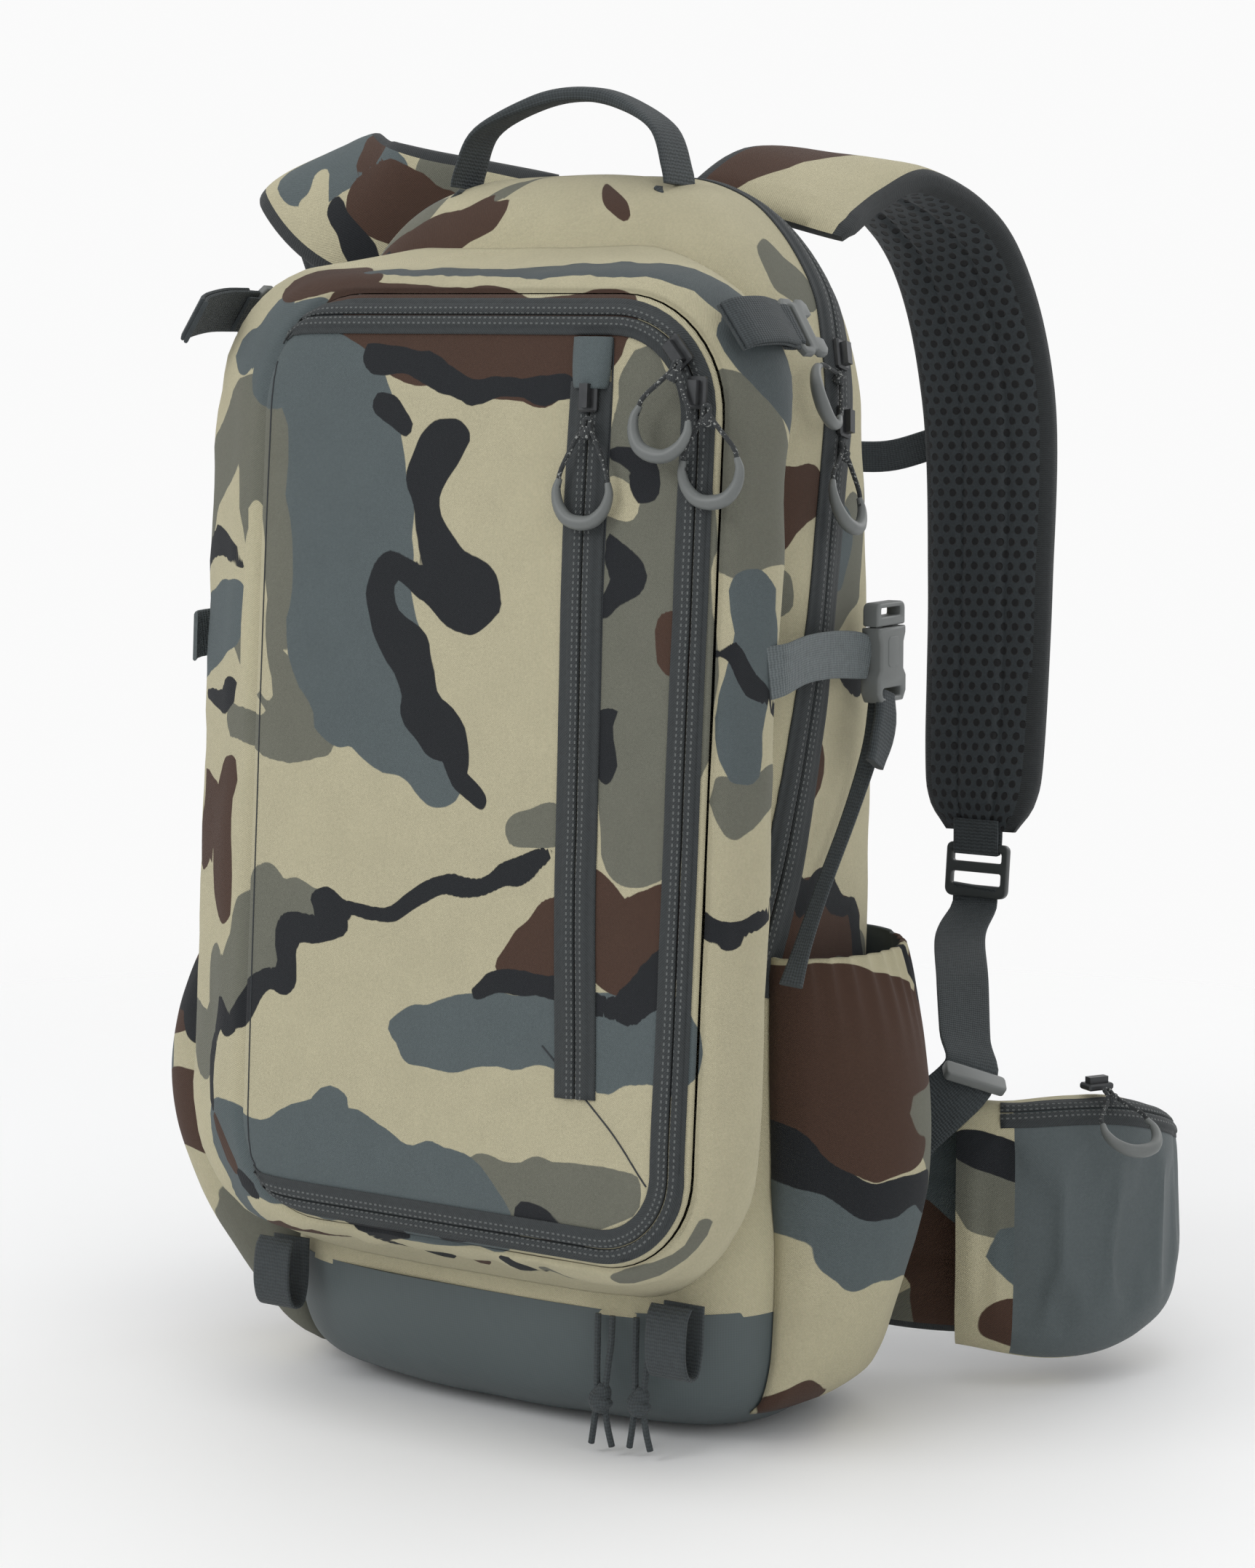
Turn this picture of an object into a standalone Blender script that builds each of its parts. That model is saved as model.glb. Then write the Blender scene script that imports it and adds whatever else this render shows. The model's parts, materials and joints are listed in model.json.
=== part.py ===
"""Hunting backpack: a zipped day pack with a front compartment, hip belt and padded straps.

Metres, +Z up. The origin is the middle of the bag's flat base. The front compartment faces -Y,
the wearer stands at +Y, and the wearer's left side is at +X.
"""

import math

import bmesh
import bpy
import numpy as np
from mathutils import Matrix, Vector

# Driving dimensions
CLOTH = 0.0024  # wall of a fabric panel
SEAM = 0.0009  # half of the gap between two panels
GAP = 0.0005  # clearance between two pieces that touch
WEBBING = 0.0018  # thickness of webbing
BASE_TOP = 0.060  # top of the coated base panel
SQUARENESS = 3.3  # exponent of the bag's plan section
# Bag sections: height, half width, front wall, back wall
BAG_SECTIONS = (
    (0.000, 0.097, -0.052, 0.040),
    (0.004, 0.110, -0.067, 0.048),
    (0.015, 0.121, -0.084, 0.055),
    (0.032, 0.125, -0.093, 0.057),
    (0.055, 0.126, -0.097, 0.058),
    (0.085, 0.127, -0.094, 0.060),
    (0.120, 0.128, -0.084, 0.061),
    (0.210, 0.129, -0.080, 0.062),
    (0.300, 0.129, -0.078, 0.062),
    (0.380, 0.127, -0.073, 0.062),
    (0.430, 0.124, -0.070, 0.060),
    (0.465, 0.117, -0.064, 0.058),
    (0.490, 0.108, -0.058, 0.054),
    (0.512, 0.092, -0.050, 0.047),
    (0.527, 0.074, -0.040, 0.038),
    (0.536, 0.050, -0.026, 0.027),
)
BAG_POINTS = 56  # points round one section
SLIVER = 0.0016  # edges shorter than this, left by the cuts, are dissolved
SIDE_SEAM_X = 0.105  # seam between back and side panels
SIDE_SEAM_FRONT = -0.02  # forward of this the side panels hold the whole wall

# The main zip lies in a plane that leans back towards the top.
ZIP_Y, ZIP_Z, ZIP_LEAN = 0.005, 0.45, 0.25
ZIP_END = 0.195
ZIP_HALF = 0.0115

# Front compartment: the front panel's outline and the plane that it lies in
PANEL_LEFT, PANEL_RIGHT = -0.100, 0.131
PANEL_BOTTOM, PANEL_TOP = 0.091, 0.487
PANEL_CORNER_TOP, PANEL_CORNER_BOTTOM = 0.050, 0.042
PANEL_Y, PANEL_LEAN = -0.1370, 0.073
PANEL_CROWN = 0.006
PANEL_WALL = 0.004
PANEL_ZIP_INSET = 0.008

# Side pockets
POCKET_TOP, POCKET_FOOT = 0.210, 0.012
POCKET_BACK = 0.044
POCKET_GAP = 0.0030
# Front edge, how far it swells, how far forward the swelling leans, and where it is deepest
SIDE_POCKETS = {"right": (-0.052, 0.038, -0.1, 0.5), "left": (-0.060, 0.066, -0.45, 0.35)}

# Hip belt: each wing is an arc seen from above
BELT_CENTRE = (0.105, 0.165)
BELT_RADIUS = 0.080
BELT_PAD = 0.011
BELT_BOTTOM, BELT_TOP = 0.018, 0.125

SIDES = {"right": 1.0, "left": -1.0}

materials = {}


def clear_scene():
    for old in list(bpy.data.objects):
        bpy.data.objects.remove(old, do_unlink=True)


def make_collection(name):
    group = bpy.data.collections.new(name)
    bpy.context.scene.collection.children.link(group)
    return group


clear_scene()
pack = make_collection("hunting_backpack")
cutters = make_collection("cutters")


def finish(name, colour, roughness, metallic=0.0):
    """One Principled material, made once and shared by name."""
    if name not in materials:
        material = bpy.data.materials.new(name)
        material.use_nodes = True
        shader = material.node_tree.nodes["Principled BSDF"]
        shader.inputs["Base Color"].default_value = (*colour, 1.0)
        shader.inputs["Roughness"].default_value = roughness
        shader.inputs["Metallic"].default_value = metallic
        materials[name] = material
    return materials[name]


def camo():
    return finish("camo_fabric", (0.42, 0.38, 0.27), 0.85)


def coated():
    return finish("coated_fabric", (0.055, 0.07, 0.075), 0.6)


def stretch():
    return finish("stretch_fabric", (0.13, 0.15, 0.16), 0.8)


def webbing():
    return finish("webbing", (0.045, 0.058, 0.068), 0.75)


def mesh_pad():
    return finish("spacer_mesh", (0.02, 0.026, 0.03), 0.9)


def tape():
    return finish("zip_tape", (0.03, 0.034, 0.037), 0.8)


def plastic():
    return finish("moulded_plastic", (0.12, 0.13, 0.125), 0.45)


def slider_metal():
    return finish("slider_metal", (0.08, 0.085, 0.09), 0.35, 0.7)


def cord():
    return finish("pull_cord", (0.05, 0.055, 0.06), 0.8)


def add(name, data, material, matrix=None):
    """Puts one mesh or curve in the pack as a named object."""
    data.materials.append(material)
    made = bpy.data.objects.new(name, data)
    pack.objects.link(made)
    if matrix is not None:
        made.matrix_world = matrix
    return made


def smooth_shade(mesh, angle=40):
    mesh.shade_smooth()
    mesh.set_sharp_from_angle(angle=math.radians(angle))


def grid_mesh(name, rows, round_rows=False, round_columns=False, caps=False):
    """A surface through rows of points. It can close on itself along a row, across the rows, or
    with a cap on the first and last row."""
    rows = np.asarray(rows, float)
    count, across = rows.shape[:2]
    index = np.arange(count * across).reshape(count, across)
    below = index if round_columns else index[:-1]
    above = np.roll(index, -1, axis=0) if round_columns else index[1:]
    if not round_rows:
        here, there = slice(None, -1), slice(1, None)
        corners = (below[:, here], below[:, there], above[:, there], above[:, here])
    else:
        corners = (below, np.roll(below, -1, 1), np.roll(above, -1, 1), above)
    faces = np.stack(corners, axis=-1).reshape(-1, 4).tolist()
    if caps:
        faces += [index[0][::-1].tolist(), index[-1].tolist()]
    mesh = bpy.data.meshes.new(name)
    mesh.from_pydata(rows.reshape(-1, 3).tolist(), [], faces)
    mesh.update()
    return mesh


def face_outward(mesh):
    """Turns a closed mesh's faces out."""
    shape = bmesh.new()
    shape.from_mesh(mesh)
    bmesh.ops.recalc_face_normals(shape, faces=shape.faces[:])
    shape.to_mesh(mesh)
    shape.free()
    smooth_shade(mesh)
    return mesh


def thicken(made, thickness, offset):
    wall = made.modifiers.new("wall", "SOLIDIFY")
    wall.thickness = thickness
    wall.offset = offset
    wall.use_rim = True
    return made


def smooth_path(stations, per_span):
    """A Catmull-Rom curve through the stations, which may hold more columns than x, y, z."""
    known = np.asarray(stations, float)
    known = np.vstack([2 * known[0] - known[1], known, 2 * known[-1] - known[-2]])
    share = (np.arange(per_span) / per_span)[:, None]
    spans = []
    for first in range(len(known) - 3):
        before, start, end, after = known[first : first + 4]
        spans.append(
            start
            + 0.5 * (end - before) * share
            + (before - 2.5 * start + 2 * end - 0.5 * after) * share**2
            + (1.5 * (start - end) + 0.5 * (after - before)) * share**3
        )
    return np.vstack([*spans, known[-2][None]])


def ribbon(name, material, stations, thickness, per_span=4, columns=2):
    """Webbing or strap. A station is x, y, z, the width's direction as x, y, z, and the width."""
    line = smooth_path(stations, per_span)
    centre, across, width = line[:, :3], line[:, 3:6], line[:, 6]
    along = np.gradient(centre, axis=0)
    along /= np.linalg.norm(along, axis=1)[:, None]
    across = across - (across * along).sum(1)[:, None] * along
    across /= np.linalg.norm(across, axis=1)[:, None]
    share = np.linspace(-0.5, 0.5, columns)
    rows = centre[:, None] + across[:, None] * (width[:, None] * share)[..., None]
    mesh = grid_mesh(name, rows)
    mesh.shade_smooth()
    return thicken(add(name, mesh, material), thickness, 0.0)


def arc(centre, radius, start, end, count):
    """Points of a circular arc, angles in degrees."""
    angles = np.radians(np.linspace(start, end, count))
    return np.stack([centre[0] + radius * np.cos(angles), centre[1] + radius * np.sin(angles)], 1)


def rounded_outline(left, right, bottom, top, low_radius, high_radius, turns=5, runs=5):
    """A rectangle with round corners, anticlockwise, with the same number of points each time."""
    corners = (
        arc((right - low_radius, bottom + low_radius), low_radius, -90, 0, turns),
        arc((right - high_radius, top - high_radius), high_radius, 0, 90, turns),
        arc((left + high_radius, top - high_radius), high_radius, 90, 180, turns),
        arc((left + low_radius, bottom + low_radius), low_radius, 180, 270, turns),
    )
    points = []
    for here, following in zip(corners, corners[1:] + corners[:1]):
        share = np.linspace(0, 1, runs + 1)[1:-1, None]
        points += [here, here[-1] + (following[0] - here[-1]) * share]
    return np.vstack(points)


def plate(name, material, outlines, thickness, matrix):
    """A flat piece: the first outline is its edge and the others are holes."""
    curve = bpy.data.curves.new(name, "CURVE")
    curve.dimensions = "2D"
    curve.fill_mode = "BOTH"
    curve.extrude = thickness / 2
    for outline in outlines:
        spline = curve.splines.new("POLY")
        spline.points.add(len(outline) - 1)
        for point, (x, y) in zip(spline.points, outline):
            point.co = (x, y, 0, 1)
        spline.use_cyclic_u = True
    return add(name, curve, material, matrix)


def tube(name, material, route, diameter, per_span=4):
    curve = bpy.data.curves.new(name, "CURVE")
    curve.dimensions = "3D"
    curve.bevel_depth = diameter / 2
    curve.bevel_resolution = 2
    curve.use_fill_caps = True
    line = smooth_path(route, per_span)
    spline = curve.splines.new("POLY")
    spline.points.add(len(line) - 1)
    for point, place in zip(spline.points, line):
        point.co = (*place, 1)
    return add(name, curve, material)


def as_mesh(made):
    """Replaces a curve object by a mesh object of the same name, with its caps welded."""
    bpy.context.view_layer.update()
    graph = bpy.context.evaluated_depsgraph_get()
    mesh = bpy.data.meshes.new_from_object(made.evaluated_get(graph))
    shape = bmesh.new()
    shape.from_mesh(mesh)
    bmesh.ops.remove_doubles(shape, verts=shape.verts[:], dist=1e-6)
    bmesh.ops.recalc_face_normals(shape, faces=shape.faces[:])
    shape.to_mesh(mesh)
    shape.free()
    name, matrix = made.name, made.matrix_world.copy()
    bpy.data.objects.remove(made, do_unlink=True)
    made = bpy.data.objects.new(name, mesh)
    made.matrix_world = matrix
    pack.objects.link(made)
    return made


def box(name, material, size, matrix, bevel=0.0):
    mesh = bpy.data.meshes.new(name)
    shape = bmesh.new()
    bmesh.ops.create_cube(shape, size=1.0)
    bmesh.ops.scale(shape, vec=size, verts=shape.verts[:])
    shape.to_mesh(mesh)
    shape.free()
    made = add(name, mesh, material, matrix)
    if bevel:
        edges = made.modifiers.new("edges", "BEVEL")
        edges.width = bevel
        edges.segments = 1
    return made


def combine(made, other, operation):
    """A Boolean with a helper object, which stays in the cutters' collection."""
    change = made.modifiers.new(operation.lower(), "BOOLEAN")
    change.operation = operation
    change.object = other
    pack.objects.unlink(other)
    cutters.objects.link(other)
    other.hide_render = True
    other.display_type = "WIRE"
    return made


def hang(axis_name, position, *pieces):
    """Hangs the pieces of one moving body on an empty that sits on their joint's axis."""
    axis = bpy.data.objects.new(axis_name, None)
    axis.location = position
    axis.empty_display_size = 0.01
    pack.objects.link(axis)
    bpy.context.view_layer.update()
    for piece in pieces:
        piece.parent = axis
        piece.matrix_parent_inverse = axis.matrix_world.inverted()
    return axis


def facing(position, across, along):
    """A frame at a position: X runs across, Y runs along, and Z is the outward normal."""
    along = Vector(along).normalized()
    normal = Vector(across).cross(along).normalized()
    across = along.cross(normal)
    turn = Matrix((across, along, normal)).transposed().to_4x4()
    return Matrix.Translation(position) @ turn


# The bag


def bag_section(height):
    """Half width, middle and half depth of the bag at a height."""
    table = np.array(BAG_SECTIONS).T
    half_width, front, back = (np.interp(height, table[0], column) for column in table[1:])
    return half_width, (front + back) / 2, (back - front) / 2


def bag_ring(height):
    """Evenly spaced points of one plan section, a superellipse."""
    half_width, middle, half_depth = bag_section(height)
    angle = np.linspace(-0.5 * np.pi, 1.5 * np.pi, 1441)
    power = 2 / SQUARENESS
    x = half_width * np.sign(np.cos(angle)) * np.abs(np.cos(angle)) ** power
    y = middle + half_depth * np.sign(np.sin(angle)) * np.abs(np.sin(angle)) ** power
    run = np.concatenate([[0], np.cumsum(np.hypot(np.diff(x), np.diff(y)))])
    places = np.linspace(0, run[-1], BAG_POINTS, endpoint=False)
    return np.stack([np.interp(places, run, x), np.interp(places, run, y)], axis=1)


def bag_front(x, height, clear):
    """y of the bag's front wall at x, moved out by a clearance."""
    half_width, middle, half_depth = bag_section(height)
    share = np.minimum(np.abs(x) / (half_width + clear), 0.985)
    return middle - (half_depth + clear) * (1 - share**SQUARENESS) ** (1 / SQUARENESS)


def bag_side(y, height, clear):
    """Point (x, y) of the bag's right wall where it passes y, moved out along its normal."""
    half_width, middle, half_depth = bag_section(height)
    share = (y - middle) / half_depth
    x = half_width * (1 - np.abs(share) ** SQUARENESS) ** (1 / SQUARENESS)
    normal_x = (x / half_width) ** (SQUARENESS - 1) / half_width
    normal_y = np.sign(share) * np.abs(share) ** (SQUARENESS - 1) / half_depth
    long = np.hypot(normal_x, normal_y)
    return np.stack([x + clear * normal_x / long, y + clear * normal_y / long], axis=-1)


def zip_y(height):
    return ZIP_Y + ZIP_LEAN * (height - ZIP_Z)


def zip_distance(y, height):
    """Distance behind the main zip's plane."""
    return (y - zip_y(height)) / math.hypot(1, ZIP_LEAN)


def bag_surface():
    """The bag's outer surface, open inside and cut along every panel seam."""
    rows = [
        np.column_stack([bag_ring(section[0]), np.full(BAG_POINTS, section[0])])
        for section in BAG_SECTIONS
    ]
    mesh = grid_mesh("bag_surface", rows, round_rows=True, caps=True)
    shape = bmesh.new()
    shape.from_mesh(mesh)
    bpy.data.meshes.remove(mesh)
    low_y = zip_y(ZIP_END)
    zip_normal = (0, 1, -ZIP_LEAN)
    zip_length = math.hypot(1, ZIP_LEAN)
    seams = [((0, 0, height), (0, 0, 1), lambda c: True) for height in (BASE_TOP, ZIP_END)]
    for edge in (-ZIP_HALF, ZIP_HALF):
        seams.append(((0, ZIP_Y + edge * zip_length, ZIP_Z), zip_normal, lambda c: c.z > ZIP_END))
    seams.append(((0, low_y, 0), (0, 1, 0), lambda c: BASE_TOP < c.z < ZIP_END))
    for x in (-SIDE_SEAM_X, SIDE_SEAM_X):
        seams.append(((x, 0, 0), (1, 0, 0), lambda c: c.z > BASE_TOP and c.y > SIDE_SEAM_FRONT))
    for place, normal, wanted in seams:
        normal = Vector(normal).normalized()
        for step in (-SEAM, SEAM):
            faces = [face for face in shape.faces if wanted(face.calc_center_median())]
            edges = {edge for face in faces for edge in face.edges}
            verts = {vert for face in faces for vert in face.verts}
            bmesh.ops.bisect_plane(
                shape,
                geom=[*verts, *edges, *faces],
                dist=1e-6,
                plane_co=Vector(place) + normal * step,
                plane_no=normal,
            )
    return shape


def panel_from(surface, name, material, wanted):
    """The faces of the bag's surface whose centres are wanted, as one panel with a wall."""
    mesh = bpy.data.meshes.new(name)
    shape = surface.copy()
    spare = [face for face in shape.faces if not wanted(face.calc_center_median())]
    bmesh.ops.delete(shape, geom=spare, context="FACES")
    bmesh.ops.dissolve_degenerate(shape, edges=shape.edges[:], dist=SLIVER)
    shape.to_mesh(mesh)
    shape.free()
    smooth_shade(mesh, 60)
    return thicken(add(name, mesh, material), CLOTH, -1.0)


def make_bag():
    surface = bag_surface()
    low_y = zip_y(ZIP_END)

    def in_front(centre):
        if centre.z > ZIP_END + SEAM:
            return zip_distance(centre.y, centre.z) < -ZIP_HALF - SEAM / 2
        if centre.z > ZIP_END - SEAM:
            return centre.y < low_y - ZIP_HALF - 2 * SEAM
        return centre.z > BASE_TOP + SEAM and centre.y < low_y - SEAM

    def behind(centre):
        if centre.z > ZIP_END - SEAM:
            return zip_distance(centre.y, centre.z) > ZIP_HALF + SEAM / 2
        return centre.z > BASE_TOP + SEAM and centre.y > low_y + SEAM

    def on_zip(centre):
        off_line = abs(zip_distance(centre.y, centre.z))
        return centre.z > ZIP_END + SEAM and off_line < ZIP_HALF - SEAM / 2

    def at_side(centre, sign):
        beside = sign * centre.x > SIDE_SEAM_X + SEAM or centre.y < SIDE_SEAM_FRONT
        return behind(centre) and beside and sign * centre.x > 0

    panel_from(surface, "base_panel", coated(), lambda c: c.z < BASE_TOP - SEAM)
    panel_from(surface, "body_front_panel", camo(), in_front)
    panel_from(surface, "main_zipper", tape(), on_zip)
    inner = SIDE_SEAM_X - SEAM
    panel_from(
        surface,
        "back_panel",
        camo(),
        lambda c: behind(c) and abs(c.x) < inner and c.y > SIDE_SEAM_FRONT,
    )
    panel_from(surface, "side_panel_right", camo(), lambda c: at_side(c, 1))
    panel_from(surface, "side_panel_left", camo(), lambda c: at_side(c, -1))
    surface.free()


def make_frame():
    """The stiff sheet and the metal stay inside the back of the bag."""
    sheet = {"width": 0.150, "bottom": 0.075, "top": 0.455, "y": 0.0465, "thick": 0.0015}
    stay = {"width": 0.025, "bottom": 0.080, "top": 0.450, "thick": 0.003}
    outline = rounded_outline(
        -sheet["width"] / 2, sheet["width"] / 2, sheet["bottom"], sheet["top"], 0.02, 0.03
    )
    upright = Matrix.Rotation(math.pi / 2, 4, "X")
    grey = finish("frame_plastic", (0.03, 0.03, 0.03), 0.5)
    plate("frame_sheet", grey, [outline], sheet["thick"], Matrix.Translation((0, sheet["y"], 0)) @ upright)
    metal = finish("frame_aluminium", (0.7, 0.7, 0.7), 0.35, 1.0)
    y = sheet["y"] - sheet["thick"] / 2 - GAP - stay["thick"] / 2
    middle = (stay["bottom"] + stay["top"]) / 2
    size = (stay["width"], stay["thick"], stay["top"] - stay["bottom"])
    box("frame_stay", metal, size, Matrix.Translation((0, y, middle)), 0.001)


def make_back_pad():
    """The padded back, flat where the wearer leans on it."""
    half_width, bottom, top = 0.095, 0.045, 0.472
    front, back, round_off = 0.0630, 0.0780, 0.004
    rows = []
    for inset, y in ((round_off, front), (0, front + round_off), (0, back - round_off), (round_off, back)):
        outline = rounded_outline(
            -half_width + inset, half_width - inset, bottom + inset, top - inset, 0.025, 0.055
        )
        rows.append(np.column_stack([outline[:, 0], np.full(len(outline), y), outline[:, 1]]))
    mesh = face_outward(grid_mesh("back_pad", rows, round_rows=True, caps=True))
    add("back_pad", mesh, mesh_pad())


# The front compartment


def panel_face_y(height):
    """y of the front panel's rim plane, which leans back."""
    return PANEL_Y + PANEL_CROWN + PANEL_LEAN * (height - PANEL_BOTTOM)


def panel_outline(grow, left_grow=0.0):
    return rounded_outline(
        PANEL_LEFT - grow - left_grow,
        PANEL_RIGHT + grow,
        PANEL_BOTTOM - grow,
        PANEL_TOP + grow,
        PANEL_CORNER_BOTTOM + grow,
        PANEL_CORNER_TOP + grow,
    )


def make_front_pocket_shell():
    """The gusset: a band round the compartment with a narrow rim for the front panel."""
    rear = {"left": -0.114, "right": 0.114, "bottom": 0.067, "top": 0.508}
    clear = 0.0026

    def rear_row(inset):
        outline = rounded_outline(
            rear["left"] + inset,
            rear["right"] - inset,
            rear["bottom"] + inset,
            rear["top"] - inset,
            0.030,
            0.060,
        )
        y = np.array([bag_front(x, z, clear) for x, z in outline])
        return np.column_stack([outline[:, 0], y, outline[:, 1]])

    def rim_row(grow, back_off, left_grow=0.0):
        outline = panel_outline(grow, left_grow)
        return np.column_stack([outline[:, 0], panel_face_y(outline[:, 1]) + back_off, outline[:, 1]])

    def bulge_row(corner, behind, grow):
        outline = panel_outline(grow, 0.038)
        y = 0.55 * corner[:, 1] + 0.45 * behind[:, 1]
        return np.column_stack([outline[:, 0], y, outline[:, 1]])

    behind, behind_inner = rear_row(0.0), rear_row(CLOTH)
    edge, edge_inner = rim_row(2 * SEAM, 0.0), rim_row(2 * SEAM, CLOTH)
    corner = rim_row(0.010, 0.009, 0.016)
    corner_inner = rim_row(0.010 - CLOTH, 0.009 + CLOTH, 0.016)
    rows = (
        edge,
        corner,
        bulge_row(corner, behind, 0.014),
        behind,
        behind_inner,
        bulge_row(corner_inner, behind_inner, 0.014 - CLOTH),
        corner_inner,
        edge_inner,
    )
    mesh = grid_mesh("front_pocket_shell", rows, round_rows=True, round_columns=True)
    add("front_pocket_shell", face_outward(mesh), camo())


def make_front_panel():
    """The compartment's door, crowned a little, with its rim in the leaning plane."""
    middle_x = (PANEL_LEFT + PANEL_RIGHT) / 2
    middle_z = (PANEL_BOTTOM + PANEL_TOP) / 2
    outline = panel_outline(0.0)
    rows = []
    for share, rise in ((1.0, 0.0), (0.93, 0.7), (0.72, 0.95), (0.4, 1.0)):
        x = middle_x + (outline[:, 0] - middle_x) * share
        z = middle_z + (outline[:, 1] - middle_z) * share
        rows.append(np.column_stack([x, panel_face_y(z) - rise * PANEL_CROWN, z]))
    inner = [row + (0, PANEL_WALL, 0) for row in rows[::-1]]
    mesh = grid_mesh("front_panel", rows[::-1] + inner[::-1], round_rows=True, caps=True)
    panel = add("front_panel", face_outward(mesh), camo())
    axis_z = PANEL_BOTTOM + PANEL_CORNER_BOTTOM
    return hang("front_panel_axis", (PANEL_LEFT, panel_face_y(axis_z), axis_z), panel)


# Zip sliders and their pulls


def slider(name, frame):
    """A zip slider lying on a frame's plane: a wedge body with a bridge on its back."""
    width, length, height = 0.0090, 0.0130, 0.0030
    bridge_width, bridge_height = 0.0040, 0.0028
    lift = Matrix.Translation((0, 0, GAP + height / 2))
    body = box(name, slider_metal(), (width, length, height), frame @ lift, 0.0008)
    bridge = box(
        name + "_bridge",
        slider_metal(),
        (bridge_width, length * 0.75, bridge_height * 2),
        frame @ lift @ Matrix.Translation((0, 0, height / 2)),
    )
    return combine(body, bridge, "UNION")


def drop_outline(length, neck, belly, wall):
    """Half widths along a hanging loop: narrow at its top, round at its bottom."""
    radius = belly / 2 - wall
    bottom = arc((0, -length + belly / 2), radius, 180, 360, 9)
    return np.vstack([bottom, [(neck / 2 - wall, -0.004 - wall), (wall - neck / 2, -0.004 - wall)]])


def pull(name, frame, length=0.050, belly=0.028):
    """A cord loop with its moulded grip, flat, hanging down from the frame's origin."""
    neck, wall, thickness = 0.0085, 0.0030, 0.0034
    outer = drop_outline(length, neck, belly, 0.0)
    inner = drop_outline(length, neck, belly, wall)
    return plate(name, plastic(), [outer, inner], thickness, frame @ Matrix.Translation((0, 0, 0.0045)))


def panel_frame(x, height, lean_x=0.0, proud=0.0):
    """A frame lying on the front panel's face, Y pointing up the panel."""
    y = panel_face_y(height) - PANEL_CROWN * proud
    return facing((x, y, height), (1, 0, lean_x), (-lean_x, PANEL_LEAN, 1))


def make_panel_zips():
    """Sliders and pulls of the front panel: one on the pocket zip and two on the C-shaped zip."""
    up = Vector((0, PANEL_LEAN, 1)).normalized()
    frame = panel_frame(0.0720, 0.4460, proud=1.02)
    metal = slider("pocket_slider", frame)
    hanging = pull("pocket_pull", panel_frame(0.0740, 0.4390, lean_x=-0.05, proud=1.02), 0.046)
    hang("pocket_pull_axis", panel_frame(0.0740, 0.4380, proud=1.7).translation, hanging)
    hang("pocket_slider_axis", frame.translation, metal)

    # The zip's middle runs inside the panel's edge, where the crown has nearly its full height.
    corner = (PANEL_RIGHT - PANEL_CORNER_TOP, PANEL_TOP - PANEL_CORNER_TOP)
    radius = PANEL_CORNER_TOP - PANEL_ZIP_INSET
    proud = 0.0052
    angle = math.radians(40)
    x = corner[0] + radius * math.cos(angle)
    z = corner[1] + radius * math.sin(angle)
    y = panel_face_y(z) - proud
    tangent = Vector((-math.sin(angle), 0, math.cos(angle))) + up * 0.001
    frame = facing((x, y, z), (math.cos(angle), 0, math.sin(angle)), tangent)
    metal = slider("panel_slider_upper", frame)
    frame = facing((x + 0.004, y - 0.0050, z - 0.005), (1, 0, -0.25), (0.25, 0.06, 1))
    hanging = pull("panel_pull_upper", frame, 0.042)
    hang("panel_pull_upper_axis", (x + 0.004, y - 0.007, z - 0.003), hanging)
    hang("panel_slider_upper_axis", (corner[0], panel_face_y(corner[1]), corner[1]), metal)

    x, z = PANEL_RIGHT - PANEL_ZIP_INSET, 0.4480
    y = panel_face_y(z) - proud
    frame = facing((x, y, z), (1, 0, 0), up)
    metal = slider("panel_slider_lower", frame)
    frame = facing((x + 0.008, y + 0.002, z - 0.0045), (1, 0.1, 0.1), (-0.08, 0.07, 1))
    hanging = pull("panel_pull_lower", frame, 0.042)
    hang("panel_pull_lower_axis", (x + 0.006, y - 0.004, z - 0.004), hanging)
    hang("panel_slider_lower_axis", (x, y, z), metal)


def main_zip_frame(height, forward):
    """A frame lying on the bag's side at the main zip, Y pointing up along the zip."""
    points = []
    for z in (height - 0.01, height, height + 0.01):
        x, y = bag_side(zip_y(z), z, 0.0)
        points.append(Vector((x, y, z)))
    up = (points[2] - points[0]).normalized()
    out = Vector((1, 0, 0)) - up * up.x
    return facing(points[1] + out * 0.0004, up.cross(out), up + forward * up.cross(out))


def make_main_zips():
    for level, height, lean in (("upper", 0.4610, -0.95), ("lower", 0.4330, -0.12)):
        frame = main_zip_frame(height, 0.0)
        metal = slider(f"main_slider_{level}", frame)
        drop = frame @ Matrix.Translation((0, -0.0085, 0.0004))
        swung = drop @ Matrix.Rotation(lean, 4, "Z")
        hanging = pull(f"main_pull_{level}", swung, 0.042, 0.026)
        hang(f"main_pull_{level}_axis", drop.translation, hanging)
        hang(f"main_slider_{level}_axis", frame.translation, metal)


# Side pockets


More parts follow.
